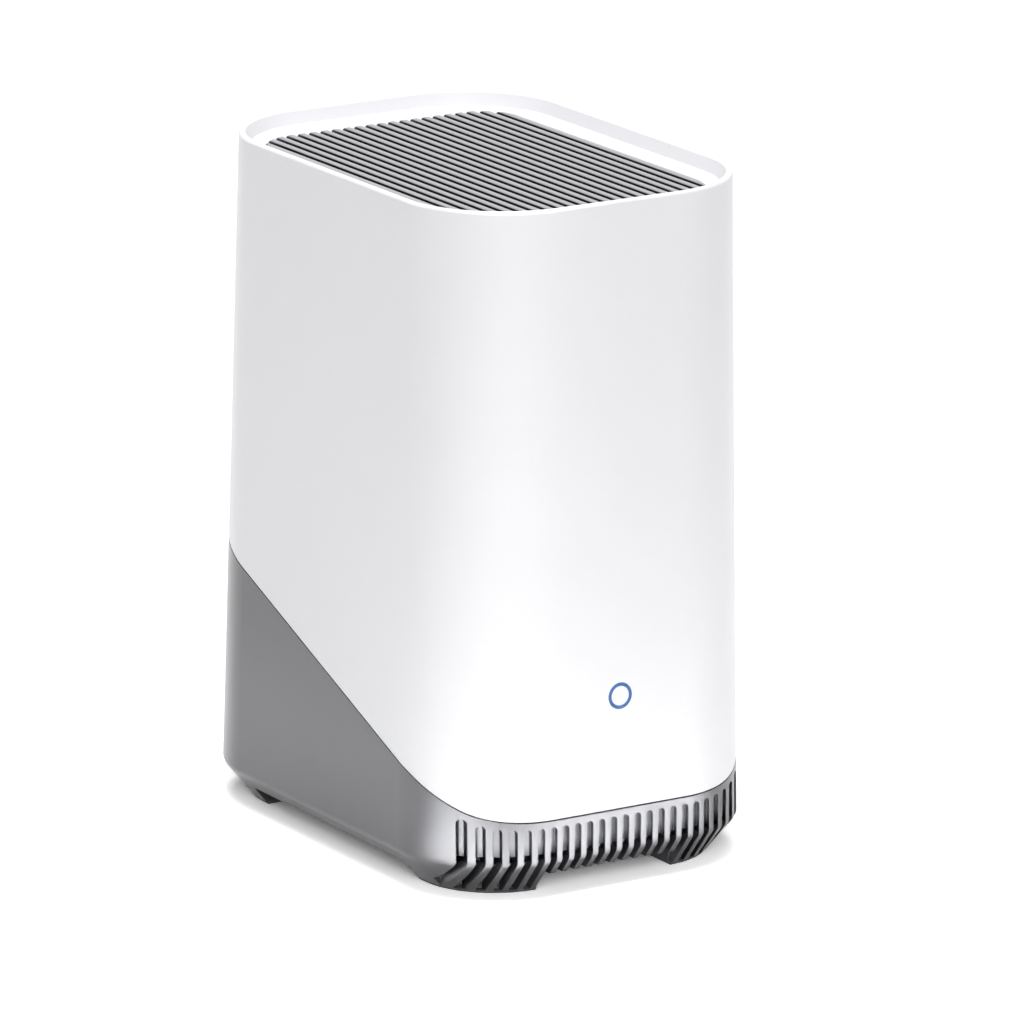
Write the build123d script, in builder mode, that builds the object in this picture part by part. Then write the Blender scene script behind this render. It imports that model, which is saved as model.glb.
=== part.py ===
from build123d import *
import os
from math import cos, radians, sin, sqrt, tan

# Security camera base station: a white tower on a grey base, with a drive bay that opens underneath.
# Millimetres, +Z up, origin on the table below the middle of the tower, front towards -Y.

os.makedirs("parts", exist_ok=True)


def save(piece, name):
    """Labels a finished piece and writes it as its own STEP file."""
    piece.part.label = name
    export_step(piece.part, f"parts/{name}.step")


# Driving sizes of the tower
body_width = 105.3
body_depth = 151.3
body_height = 194.0
corner_radius = 31.0
side_lean = 0.785
back_lean = 2.262
wall = 2.6

# Clearances and the one overrun that every cut uses
fit_gap = 0.3
slide_gap = 0.4
thread_gap = 0.05
running_gap = 0.05
overrun = 3.0

# Base: height of the floor, of the bend where the wall turns inwards, and of the seam with the shell
pad_thickness = 0.9
floor_height = 5.6
floor_thickness = 2.5
bend_height = 10.4
bend_radius = 2.5
base_taper = 39.7
seam_front_height = 21.6
seam_middle_height = 53.6
seam_back_height = 79.0
seam_slope = 22.05
seam_front_slope = 27.9
seam_knee_y = -50.0
seam_radius = 34.0
seam_gap = 0.35
lip_height = 3.0
lip_gap = 0.15

floor_top = floor_height + floor_thickness
seam_bend_share = 0.95
seam_knee_height = seam_middle_height + seam_knee_y * tan(radians(seam_slope))
seam_front_y = seam_knee_y - (seam_knee_height - seam_front_height) / tan(radians(seam_front_slope))
seam_front_run = (seam_knee_y - seam_front_y) / cos(radians(seam_front_slope))
seam_bend = min(
    seam_radius,
    seam_bend_share
    * seam_front_run
    / (tan(radians(seam_front_slope / 2)) + tan(radians((seam_front_slope - seam_slope) / 2))),
)


def outline_at(height, inset):
    """Gives width, depth, middle and corner radius of the tower's plan at a height, moved in by inset."""
    half_width = body_width / 2 - height * tan(radians(side_lean)) - inset
    front = -body_depth / 2 + inset
    back = body_depth / 2 - height * tan(radians(back_lean)) - inset
    return 2 * half_width, back - front, (front + back) / 2, corner_radius - inset


def tower(*levels):
    """Straight walls through pairs of height and inset, from the lowest level to the highest."""
    with BuildPart() as block:
        for height, inset in levels:
            width, depth, middle, radius = outline_at(height, inset)
            with BuildSketch(Plane.XY.offset(height)):
                with Locations((0, middle)):
                    RectangleRounded(width, depth, radius)
        loft(ruled=True)
    return block.part


def taper_inset(height):
    """How far the base has turned inwards at a height below its bend."""
    return (bend_height - height) * tan(radians(base_taper))


def below_seam(lift):
    """Everything under the seam line raised by lift, as seen from the side."""
    back_y = (seam_back_height - seam_middle_height) / tan(radians(seam_slope))
    with BuildPart() as block:
        with BuildSketch(Plane.YZ.offset(-body_width)):
            with BuildLine():
                FilletPolyline(
                    (-body_depth, seam_front_height + lift),
                    (seam_front_y, seam_front_height + lift),
                    (seam_knee_y, seam_knee_height + lift),
                    (back_y, seam_back_height + lift),
                    (body_depth, seam_back_height + lift),
                    radius=seam_bend,
                )
                Polyline(
                    (body_depth, seam_back_height + lift),
                    (body_depth, -overrun),
                    (-body_depth, -overrun),
                    (-body_depth, seam_front_height + lift),
                )
            make_face()
        extrude(amount=2 * body_width)
    return block.part


def slab(x_range, y_range, z_range):
    """A block between named lowest and highest places on each axis."""
    with BuildPart() as block:
        with Locations((x_range[0], y_range[0], z_range[0])):
            Box(
                x_range[1] - x_range[0],
                y_range[1] - y_range[0],
                z_range[1] - z_range[0],
                align=(Align.MIN, Align.MIN, Align.MIN),
            )
    return block.part


def screw(head_radius, head_height, shank_radius, shank_length, drive_width):
    """A cross-head screw that points down, with the underside of its head at the origin."""
    with BuildPart() as piece:
        Cylinder(head_radius, head_height, align=(Align.CENTER, Align.CENTER, Align.MIN))
        Cylinder(shank_radius, shank_length, align=(Align.CENTER, Align.CENTER, Align.MAX))
        with Locations((0, 0, head_height)):
            Box(head_radius, drive_width, head_height, mode=Mode.SUBTRACT)
            Box(drive_width, head_radius, head_height, mode=Mode.SUBTRACT)
    return piece.part


def at(x, y, z, turn=(0, 0, 0)):
    """A place for a repeated piece, turned by degrees about X, Y and Z."""
    return Location((x, y, z), turn)


# Screws: M3 for the case, the cage and the boards, M2 for the small pieces
m3_head_radius = 2.75
m3_head_height = 2.0
m3_radius = 1.45
m3_drive = 0.8
m2_head_radius = 1.9
m2_head_height = 1.3
m2_radius = 0.95
m2_drive = 0.5
m3_hole = m3_radius + thread_gap
m2_hole = m2_radius + thread_gap

# Drive bay: the sled hangs under a steel cage and slides out of the floor
drive_length = 100.2
drive_width = 69.85
drive_height = 9.5
drive_space = 0.3
bay_x = 16.0
sled_thickness = 2.6
sled_rail = 2.8
sled_depth = 13.8
sled_length = 110.0
cover_width = 22.0
cover_length = 80.0
cage_wall = 1.0
cage_height = 118.0
cage_lift = 0.4
cage_tab_length = 10.0
cage_tab_width = 15.0
cage_boss_height = 3.5
cage_boss_radius = 3.0
cage_screw_reach = 4.5
cage_screw_spread = 9.0

sled_width = drive_width + 2 * (drive_space + sled_rail)
cage_inner_x = sled_depth / 2 + slide_gap
cage_inner_y = sled_width / 2 + slide_gap
cage_outer_x = cage_inner_x + cage_wall
cage_outer_y = cage_inner_y + cage_wall
cage_bottom = floor_top + cage_lift
cage_top = cage_bottom + cage_height
cage_tab_height = floor_top + cage_boss_height
cage_screw_y = cage_outer_y + cage_tab_length / 2
cage_screw_x = (bay_x - cage_screw_spread / 2, bay_x + cage_screw_spread / 2)

# Feet: the four corners of the base run on down to rubber pads, hollow behind their outer wall
foot_setback_x = 30.65
foot_setback_y = 34.05
foot_inner_inset = 9.2
foot_end_wall = 2.5
foot_back_wall = 5.9
pad_lip = 1.2
case_screw_setback = 20.65

foot_x = body_width / 2 - foot_setback_x
foot_y = body_depth / 2 - foot_setback_y
case_screw_x = body_width / 2 - case_screw_setback
case_screw_y = body_depth / 2 - case_screw_setback

# Front vents: upright slots of even pitch whose tops follow the seam, blind on the wall and open below
vent_side_margin = 5.9
vent_pitch = 3.88
vent_width = 2.2
vent_seam_margin = 1.9
vent_depth = 1.4
vent_mouth_height = 12.5
vent_open_inset = 9.6
vent_reach = 23.65
vent_count = int((body_width - 2 * vent_side_margin) / vent_pitch)


def vent_top(x):
    """Height of a vent's upper end: a margin below the seam, where the slot meets the front wall."""
    past_corner = max(abs(x) - (body_width / 2 - corner_radius), 0)
    wall_y = corner_radius - body_depth / 2 - sqrt(corner_radius**2 - past_corner**2)
    along = max(wall_y - seam_front_y + seam_bend * tan(radians(seam_front_slope / 2)), 0)
    on_arc = min(along, seam_bend * sin(radians(seam_front_slope)))
    arc_rise = seam_bend - sqrt(seam_bend**2 - on_arc**2)
    rise = arc_rise + (along - on_arc) * tan(radians(seam_front_slope))
    return seam_front_height + rise - vent_seam_margin


# Speaker place, used by the floor under it
speaker_box_width = 55.0
speaker_box_setback = 3.45
speaker_box_depth = 21.8
speaker_box_bottom = 12.0
speaker_box_height = 32.0
speaker_screw_x = 24.0
speaker_pillar_radius = 3.0
sound_slot_setback = 18.15
sound_slot_count = 9
sound_slot_pitch = 3.6
sound_slot_width = 1.6
sound_slot_length = 14.0

speaker_box_front = body_depth / 2 - speaker_box_setback
speaker_box_back = speaker_box_front - speaker_box_depth
speaker_y = -(speaker_box_front + speaker_box_back) / 2

# Port column on the back: one recess with a panel, and a row of sockets on one line
port_x = -6.35
panel_thickness = 1.2
pocket_width = 26.0
pocket_bottom = 12.5
pocket_top_margin = 2.0
pocket_radius = 3.0
pocket_floor_setback = 4.65
pocket_floor_thickness = 2.0
pocket_wall = 2.0
panel_gap = 0.2
window_gap = 0.2
reset_z = 16.5
reset_hole_radius = 0.9
dc_z = 25.0
dc_collar_radius = 4.0
lan_z = 41.5
lan_width = 16.0
lan_height = 13.5
usb_z = 59.0
usb_width = 14.5
usb_height = 7.0
sync_z = 72.0
sync_cap_width = 9.0
sync_cap_height = 6.0
sync_cap_radius = 2.0

pocket_top = seam_back_height - pocket_top_margin
pocket_floor_y = body_depth / 2 - pocket_floor_setback
panel_face_y = pocket_floor_y + panel_thickness
pocket_middle_z = (pocket_bottom + pocket_top) / 2


def port_windows(gap):
    """Outlines of the five port windows, drawn on the back wall's own plane with X to the left."""
    with Locations((-port_x, reset_z)):
        Circle(reset_hole_radius + gap / 2)
    with Locations((-port_x, dc_z)):
        Circle(dc_collar_radius + gap)
    with Locations((-port_x, lan_z)):
        Rectangle(lan_height + 2 * gap, lan_width + 2 * gap)
    with Locations((-port_x, usb_z)):
        Rectangle(usb_height + 2 * gap, usb_width + 2 * gap)
    with Locations((-port_x, sync_z)):
        RectangleRounded(sync_cap_width + 2 * gap, sync_cap_height + 2 * gap, sync_cap_radius + gap)


# Plane that looks at the back of the tower, its own X running to the left seen from the front
back_plane = Plane(origin=(0, 0, 0), x_dir=(-1, 0, 0), z_dir=(0, 1, 0))

# Base housing: grey moulding with the feet, the front vents, the floor and the port recess
screw_sink = 1.3
inner_taper_inset = wall + taper_inset(floor_top) + fit_gap
inner_bend_height = floor_top + (inner_taper_inset - wall) / tan(radians(base_taper))
outer_block = tower((pad_thickness, taper_inset(pad_thickness)), (bend_height, 0), (body_height, 0))
inner_block = tower(
    (floor_top, inner_taper_inset), (inner_bend_height, wall), (body_height + overrun, wall)
)
lip_block = tower((inner_bend_height, wall / 2 + lip_gap), (body_height, wall / 2 + lip_gap))
vent_stop = tower((vent_mouth_height, vent_depth), (seam_back_height, vent_depth))
vent_open_stop = tower((-overrun, vent_open_inset), (vent_mouth_height, vent_open_inset))

with BuildPart() as base_form:
    add(outer_block)
    bend_edges = base_form.edges().filter_by_position(
        Axis.Z, bend_height - thread_gap, bend_height + thread_gap
    )
    fillet(bend_edges, bend_radius)
    add(below_seam(0), mode=Mode.INTERSECT)

with BuildPart() as vent_cutter:
    with BuildSketch(Plane.XZ.offset(body_depth / 2 - vent_reach)):
        for number in range(vent_count):
            x = (number - (vent_count - 1) / 2) * vent_pitch
            with Locations((x, vent_top(x) / 2 - overrun)):
                SlotOverall(vent_top(x) + 2 * overrun, vent_width, rotation=90)
    extrude(amount=vent_reach + overrun)
    add(vent_stop, mode=Mode.SUBTRACT)
    add(vent_open_stop, mode=Mode.SUBTRACT)

with BuildPart() as foot_hollows:
    hollow_x = (foot_x + foot_end_wall, body_width / 2 - foot_inner_inset)
    hollow_y = (foot_y + foot_back_wall, body_depth / 2 - foot_inner_inset)
    add(slab(hollow_x, hollow_y, (-overrun, floor_height)))
    mirror(about=Plane.YZ)
    mirror(about=Plane.XZ)
    add(tower((-overrun, foot_inner_inset), (floor_height, foot_inner_inset)), mode=Mode.INTERSECT)

with BuildPart() as pocket_boss:
    with BuildSketch(back_plane.offset(pocket_floor_y - pocket_floor_thickness)):
        with Locations((-port_x, pocket_middle_z)):
            RectangleRounded(
                pocket_width + 2 * pocket_wall,
                pocket_top - pocket_bottom + 2 * pocket_wall,
                pocket_radius + pocket_wall,
            )
    extrude(amount=body_depth / 2 - pocket_floor_y)
    add(tower((bend_height, 0), (body_height, 0)), mode=Mode.INTERSECT)

with BuildPart() as base_housing:
    add(base_form.part)
    add(lip_block & below_seam(lip_height))
    add(inner_block, mode=Mode.SUBTRACT)
    add(slab((-foot_x, foot_x), (-body_depth, body_depth), (0, floor_height)), mode=Mode.SUBTRACT)
    add(slab((-body_width, body_width), (-foot_y, foot_y), (0, floor_height)), mode=Mode.SUBTRACT)
    add(foot_hollows.part, mode=Mode.SUBTRACT)
    add(vent_cutter.part, mode=Mode.SUBTRACT)
    add(pocket_boss.part)
    # Bosses for the cage screws and pillars under the speaker box
    with BuildSketch(Plane.XY.offset(floor_top)):
        with Locations([(x, y) for x in cage_screw_x for y in (-cage_screw_y, cage_screw_y)]):
            Circle(cage_boss_radius)
    extrude(amount=cage_boss_height)
    with BuildSketch(Plane.XY.offset(floor_top)):
        with Locations((-speaker_screw_x, speaker_y), (speaker_screw_x, speaker_y)):
            Circle(speaker_pillar_radius)
    extrude(amount=speaker_box_bottom - floor_top)
    # Screw holes, the bay's opening and the slots below the speaker
    with BuildSketch(Plane.XY.offset(cage_tab_height)):
        with Locations([(x, y) for x in cage_screw_x for y in (-cage_screw_y, cage_screw_y)]):
            Circle(m3_hole)
    extrude(amount=-cage_screw_reach, mode=Mode.SUBTRACT)
    with BuildSketch(Plane.XY.offset(floor_height)):
        with Locations((-speaker_screw_x, speaker_y), (speaker_screw_x, speaker_y)):
            Circle(m2_hole)
        with GridLocations(2 * case_screw_x, 2 * case_screw_y, 2, 2):
            Circle(m3_hole)
        with Locations((0, sound_slot_setback - body_depth / 2)):
            with GridLocations(sound_slot_pitch, sound_slot_pitch, sound_slot_count, 1):
                SlotOverall(sound_slot_length, sound_slot_width, rotation=90)
    extrude(amount=speaker_box_bottom, mode=Mode.SUBTRACT)
    with BuildSketch(Plane.XY.offset(floor_height)):
        with Locations((-speaker_screw_x, speaker_y), (speaker_screw_x, speaker_y)):
            Circle(m2_head_radius + fit_gap)
    extrude(amount=screw_sink, mode=Mode.SUBTRACT)
    with BuildSketch(Plane.XY.offset(floor_height)):
        with Locations((bay_x, 0)):
            Rectangle(cover_width + 2 * slide_gap, cover_length + 2 * slide_gap)
    extrude(amount=floor_thickness, mode=Mode.SUBTRACT)
    # Recess and windows of the port column
    with BuildSketch(back_plane.offset(pocket_floor_y)):
        with Locations((-port_x, pocket_middle_z)):
            RectangleRounded(pocket_width, pocket_top - pocket_bottom, pocket_radius)
    extrude(amount=body_depth / 2, mode=Mode.SUBTRACT)
    with BuildSketch(back_plane.offset(pocket_floor_y)):
        port_windows(2 * window_gap)
    extrude(amount=-pocket_floor_thickness - overrun, mode=Mode.SUBTRACT)
save(base_housing, "base_housing")

# Foot pads: rubber rims glued under the four feet
for end_name, end_sign in (("front", -1), ("rear", 1)):
    for side_name, side_sign in (("left", -1), ("right", 1)):
        with BuildPart() as foot_pad:
            add(tower((0, taper_inset(0)), (pad_thickness, taper_inset(pad_thickness))))
            add(
                slab(
                    sorted((side_sign * foot_x, side_sign * body_width)),
                    sorted((end_sign * foot_y, end_sign * body_depth)),
                    (0, pad_thickness),
                ),
                mode=Mode.INTERSECT,
            )
            add(
                tower((-overrun, foot_inner_inset + pad_lip), (floor_height, foot_inner_inset + pad_lip))
                & slab(
                    sorted((side_sign * (hollow_x[0] + pad_lip), side_sign * body_width)),
                    sorted((end_sign * (hollow_y[0] + pad_lip), end_sign * body_depth)),
                    (-overrun, floor_height),
                ),
                mode=Mode.SUBTRACT,
            )
        save(foot_pad, f"foot_pad_{end_name}_{side_name}")

# Port panel: dark plate that closes the recess around the sockets
with BuildPart() as port_panel:
    with BuildSketch(back_plane.offset(pocket_floor_y)):
        with Locations((-port_x, pocket_middle_z)):
            RectangleRounded(
                pocket_width - 2 * panel_gap,
                pocket_top - pocket_bottom - 2 * panel_gap,
                pocket_radius - panel_gap,
            )
    extrude(amount=panel_thickness)
    with BuildSketch(back_plane.offset(pocket_floor_y)):
        port_windows(window_gap)
    extrude(amount=panel_thickness, mode=Mode.SUBTRACT)
save(port_panel, "port_panel")

# Outer shell: white sleeve with a recessed ledge around the grille, posts and bosses inside
rim_inset = 1.9
rim_radius = 0.8
recess_turn_drop = 3.4
recess_turn_inset = 3.6
ledge_drop = 5.2
ledge_inset = 9.0
ledge_thickness = 2.8
grille_setback_side = 11.95
grille_setback_front = 12.05
grille_setback_back = 20.05
grille_radius = 12.5
grille_gap = 0.25
post_radius = 3.6
post_hole_depth = 12.0
front_post_top = 62.0
rear_post_top = 112.0
post_web = 2.4
post_web_length = 22.0
ring_z = 54.5
ring_radius = 3.76
ring_gap = 0.05
led_screw_x = 10.0
led_boss_radius = 2.4
led_boss_length = 3.7
tray_drop = 34.0
tray_thickness = 2.0
tray_screw_setback = 8.65
tray_screw_y = 35.0
tray_boss_setback = 12.15
tray_boss_width = 8.0
tray_boss_height = 10.0
tray_screw_reach = 7.0
grille_screw_setback_side = 8.45
grille_screw_setback_front = 29.65
grille_screw_setback_back = 37.65
grille_screw_reach = 2.2

recess_turn_height = body_height - recess_turn_drop
ledge_height = body_height - ledge_drop
grille_half_width = body_width / 2 - grille_setback_side
grille_front = body_depth / 2 - grille_setback_front
grille_back = body_depth / 2 - grille_setback_back
grille_screw_x = body_width / 2 - grille_screw_setback_side
grille_screw_y = (
    grille_screw_setback_front - body_depth / 2,
    body_depth / 2 - grille_screw_setback_back,
)
tray_z = body_height - tray_drop
tray_screw_x = body_width / 2 - tray_screw_setback
tray_boss_x = body_width / 2 - tray_boss_setback
ledge_underside = ledge_height - ledge_thickness
front_wall_y = -body_depth / 2
front_inner_y = front_wall_y + wall
shell_inner = tower((floor_top, wall), (ledge_underside, wall))

with BuildPart() as shell_posts:
    with BuildSketch(Plane.XY.offset(floor_top)):
        with Locations((case_screw_x, -case_screw_y)):
            Circle(post_radius)
    extrude(amount=front_post_top - floor_top)
    with BuildSketch(Plane.XY.offset(floor_top)):
        with Locations((case_screw_x, case_screw_y)):
            Circle(post_radius)
    extrude(amount=rear_post_top - floor_top)
    mirror(about=Plane.YZ)

with BuildPart() as shell_webs:
    for end_sign, top in ((-1, front_post_top), (1, rear_post_top)):
        for side_sign in (-1, 1):
            with BuildSketch(Plane.XY.offset(floor_top)):
                with Locations(
                    Location(
                        (side_sign * case_screw_x, end_sign * case_screw_y),
                        (45 if side_sign == end_sign else 135) + (180 if end_sign < 0 else 0),
                    )
                ):
                    Rectangle(post_web_length, post_web, align=(Align.MIN, Align.CENTER))
            extrude(amount=top - floor_top)
    add(tower((floor_top, wall / 2), (body_height, wall / 2)), mode=Mode.INTERSECT)
    add(below_seam(lip_height + seam_gap), mode=Mode.SUBTRACT)

with BuildPart() as outer_shell:
    add(tower((bend_height, 0), (body_height, 0)))
    rim_edges = outer_shell.edges().filter_by_position(
        Axis.Z, body_height - thread_gap, body_height + thread_gap
    )
    fillet(rim_edges, rim_radius)
    add(shell_inner, mode=Mode.SUBTRACT)
    add(shell_posts.part)
    add(shell_webs.part)
    add(
        tower(
            (ledge_height, ledge_inset),
            (recess_turn_height, recess_turn_inset),
            (body_height, rim_inset),
        ),
        mode=Mode.SUBTRACT,
    )
    with BuildSketch(Plane.XY.offset(ledge_underside)):
        with Locations((0, (grille_back - grille_front) / 2)):
            RectangleRounded(
                2 * (grille_half_width + grille_gap),
                grille_back + grille_front + 2 * grille_gap,
                grille_radius + grille_gap,
            )
    extrude(amount=body_height, mode=Mode.SUBTRACT)
    # Bosses on the side walls that carry the fan tray
    for side_sign in (-1, 1):
        for y in (-tray_screw_y, tray_screw_y):
            add(
                slab(
                    sorted((side_sign * tray_boss_x, side_sign * (body_width / 2 - wall))),
                    (y - tray_boss_width / 2, y + tray_boss_width / 2),
                    (tray_z + tray_thickness, tray_z + tray_thickness + tray_boss_height),
                )
            )
    # Bosses for the light board behind the front wall
    with BuildSketch(Plane.XZ.offset(-front_inner_y - led_boss_length)):
        with Locations((-led_screw_x, ring_z), (led_screw_x, ring_z)):
            Circle(led_boss_radius)
    extrude(amount=led_boss_length + wall / 2)
    # The lower edge follows the seam, stepped over the base's lip
    post_keep = shell_posts.part
    add(below_seam(seam_gap) - post_keep, mode=Mode.SUBTRACT)
    add(
        (tower((floor_top, wall / 2), (body_height, wall / 2)) & below_seam(lip_height + seam_gap))
        - post_keep,
        mode=Mode.SUBTRACT,
    )
    # Screw holes and the hole for the light guide
    with BuildSketch(Plane.XY.offset(floor_top)):
        with GridLocations(2 * case_screw_x, 2 * case_screw_y, 2, 2):
            Circle(m3_hole)
    extrude(amount=post_hole_depth, mode=Mode.SUBTRACT)
    with BuildSketch(Plane.XY.offset(tray_z + tray_thickness)):
        with GridLocations(2 * tray_screw_x, 2 * tray_screw_y, 2, 2):
            Circle(m2_hole)
    extrude(amount=tray_screw_reach, mode=Mode.SUBTRACT)
    with BuildSketch(Plane.XY.offset(ledge_underside)):
        with Locations([(x, y) for x in (-grille_screw_x, grille_screw_x) for y in grille_screw_y]):
            Circle(m2_hole)
    extrude(amount=grille_screw_reach, mode=Mode.SUBTRACT)
    with BuildSketch(Plane.XZ.offset(-front_inner_y - led_boss_length)):
        with Locations((-led_screw_x, ring_z), (led_screw_x, ring_z)):
            Circle(m2_hole)
    extrude(amount=led_boss_length, mode=Mode.SUBTRACT)
    with BuildSketch(Plane.XZ.offset(-front_inner_y)):
        with Locations((0, ring_z)):
            Circle(ring_radius + ring_gap)
    extrude(amount=wall, mode=Mode.SUBTRACT)
save(outer_shell, "outer_shell")

# Top grille: grey insert of front-to-back ribs, carried by a flange under the ledge
grille_drop = 3.6
grille_edge_radius = 1.6
rib_pitch = 3.69
rib_slot = 1.6
rib_slot_count = 21
rib_slot_depth = 3.0
rib_frame = 3.6
rib_round = 0.7
flange_thickness = 2.0
flange_inset = 3.3
cross_bar_count = 3
cross_bar_width = 3.0
grille_top = body_height - grille_drop
rib_slot_floor = grille_top - rib_slot_depth
grille_length = grille_front + grille_back
grille_middle = (grille_back - grille_front) / 2

with BuildSketch() as rib_slot_profile:
    with BuildLine():
        Polyline(
            (0, rib_slot_floor),
            (rib_slot / 2, rib_slot_floor),
            (rib_slot / 2, grille_top - rib_round),
        )
        CenterArc((rib_slot / 2 + rib_round, grille_top - rib_round), rib_round, 90, 90)
        Polyline(
            (rib_slot / 2 + rib_round, grille_top),
            (rib_slot / 2 + rib_round, grille_top + overrun),
            (0, grille_top + overrun),
            (0, rib_slot_floor),
        )
    make_face()
    mirror(about=Plane.YZ)

with BuildPart() as rib_slots:
    with BuildSketch(Plane.XZ.offset(-body_depth)):
        with GridLocations(rib_pitch, rib_pitch, rib_slot_count, 1):
            add(rib_slot_profile.sketch)
    extrude(amount=2 * body_depth)

with BuildPart() as grille_openings:
    with BuildSketch(Plane.XY.offset(ledge_underside - flange_thickness)):
        with Locations((0, grille_middle)):
            RectangleRounded(
                2 * (grille_half_width - rib_frame),
                grille_length - 2 * rib_frame,
                grille_radius - rib_frame,
            )
        with Locations((0, grille_middle)):
            with GridLocations(
                body_width, grille_length / (cross_bar_count + 1), 1, cross_bar_count
            ):
                Rectangle(body_width, cross_bar_width, mode=Mode.SUBTRACT)
    extrude(amount=rib_slot_floor + fit_gap - ledge_underside + flange_thickness)

with BuildPart() as top_grille:
    with BuildSketch(Plane.XY.offset(ledge_underside)):
        with Locations((0, grille_middle)):
            RectangleRounded(2 * grille_half_width, grille_length, grille_radius)
    extrude(amount=grille_top - ledge_underside)
    fillet(top_grille.faces().sort_by(Axis.Z)[-1].edges(), grille_edge_radius)
    add(
        tower(
            (ledge_underside - flange_thickness, flange_inset), (ledge_underside, flange_inset)
        )
    )
    add(rib_slots.part, mode=Mode.SUBTRACT)
    add(grille_openings.part, mode=Mode.SUBTRACT)
    with BuildSketch(Plane.XY.offset(ledge_underside)):
        with Locations([(x, y) for x in (-grille_screw_x, grille_screw_x) for y in grille_screw_y]):
            Circle(m2_hole)
    extrude(amount=-flange_thickness, mode=Mode.SUBTRACT)
save(top_grille, "top_grille")

# Light guide: clear cup whose rim shows as the ring on the front, with a white core inside it
ring_width = 0.95
guide_flange_radius = 6.0
guide_flange_thickness = 1.2
core_gap = 0.05
led_board_width = 26.0
led_board_height = 14.0
led_board_thickness = 1.0
led_length = 1.6
led_depth = 0.8
led_circle_radius = 3.3
led_count = 4

led_board_y = front_inner_y + led_boss_length
with BuildPart() as light_guide:
    with BuildSketch(Plane.XZ.offset(-front_inner_y)):
        with Locations((0, ring_z)):
            Circle(ring_radius)
            Circle(ring_radius - ring_width, mode=Mode.SUBTRACT)
    extrude(amount=wall)
    with BuildSketch(Plane.XZ.offset(-front_inner_y)):
        with Locations((0, ring_z)):
            Circle(guide_flange_radius)
    extrude(amount=-guide_flange_thickness)
save(light_guide, "light_guide")

with BuildPart() as light_guide_core:
    with BuildSketch(Plane.XZ.offset(-front_inner_y)):
        with Locations((0, ring_z)):
            Circle(ring_radius - ring_width - core_gap)
    extrude(amount=wall)
save(light_guide_core, "light_guide_core")

# Light board: small circuit board with four lamps facing the guide, screwed to two bosses
with BuildPart() as led_board:
    with BuildSketch(Plane.XZ.offset(-led_board_y)):
        with Locations((0, ring_z)):
            Rectangle(led_board_width, led_board_height)
        with Locations((-led_screw_x, ring_z), (led_screw_x, ring_z)):
            Circle(m2_hole, mode=Mode.SUBTRACT)
    extrude(amount=-led_board_thickness)
    with BuildSketch(Plane.XZ.offset(-led_board_y)):
        with Locations((0, ring_z)):
            with PolarLocations(led_circle_radius, led_count):
                Rectangle(led_length, led_length)
    extrude(amount=led_depth)
save(led_board, "led_board")

# Case screws: four M3 screws driven from below, inside the feet, into the shell's posts
case_screw_reach = 9.0
case_screw = screw(
    m3_head_radius, m3_head_height, m3_radius, floor_thickness + case_screw_reach, m3_drive
)
with BuildPart() as case_screws:
    for x in (-case_screw_x, case_screw_x):
        for y in (-case_screw_y, case_screw_y):
            with Locations(at(x, y, floor_height, (180, 0, 0))):
                add(case_screw)
save(case_screws, "case_screws")

# Speaker: closed box on two pillars, with a long driver that faces the slots in the floor
speaker_wall = 1.6
speaker_boss_height = 5.0
driver_length = 40.0
driver_width = 20.0
driver_flange = 1.1
driver_basket_length = 36.0
driver_basket_width = 16.0
driver_basket_height = 4.6
magnet_radius = 7.0
magnet_height = 3.4
cone_length = 34.0
cone_width = 14.0
cone_depth = 1.8
cone_thickness = 0.6

driver_bottom = speaker_box_bottom - driver_flange
with BuildPart() as speaker_box:
    with BuildSketch(Plane.XY.offset(speaker_box_bottom)):
        with Locations((0, speaker_y)):
            Rectangle(speaker_box_width, speaker_box_depth)
    extrude(amount=speaker_box_height)
    with BuildSketch(Plane.XY.offset(speaker_box_bottom + speaker_wall)):
        with Locations((0, speaker_y)):
            Rectangle(speaker_box_width - 2 * speaker_wall, speaker_box_depth - 2 * speaker_wall)
    extrude(amount=speaker_box_height - 2 * speaker_wall, mode=Mode.SUBTRACT)
    with BuildSketch(Plane.XY.offset(speaker_box_bottom)):
        with Locations((-speaker_screw_x, speaker_y), (speaker_screw_x, speaker_y)):
            Circle(speaker_pillar_radius)
    extrude(amount=speaker_boss_height)
    with BuildSketch(Plane.XY.offset(speaker_box_bottom)):
        with Locations((0, speaker_y)):
            SlotOverall(driver_basket_length + 2 * fit_gap, driver_basket_width + 2 * fit_gap)
        with Locations((-speaker_screw_x, speaker_y), (speaker_screw_x, speaker_y)):
            Circle(m2_hole)
    extrude(amount=speaker_boss_height, mode=Mode.SUBTRACT)
save(speaker_box, "speaker_box")

with BuildPart() as speaker_driver:
    with BuildSketch(Plane.XY.offset(driver_bottom)):
        with Locations((0, speaker_y)):
            SlotOverall(driver_length, driver_width)
            SlotOverall(cone_length + 2 * fit_gap, cone_width + 2 * fit_gap, mode=Mode.SUBTRACT)
    extrude(amount=driver_flange)
    with BuildSketch(Plane.XY.offset(speaker_box_bottom)):
        with Locations((0, speaker_y)):
            SlotOverall(driver_basket_length, driver_basket_width)
    extrude(amount=driver_basket_height)
    with BuildSketch(Plane.XY.offset(speaker_box_bottom + driver_basket_height)):
        with Locations((0, speaker_y)):
            Circle(magnet_radius)
    extrude(amount=magnet_height)
    with BuildSketch(Plane.XY.offset(speaker_box_bottom)):
        with Locations((0, speaker_y)):
            SlotOverall(cone_length + 2 * fit_gap, cone_width + 2 * fit_gap)
    extrude(amount=cone_depth, mode=Mode.SUBTRACT)
save(speaker_driver, "speaker_driver")

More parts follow.
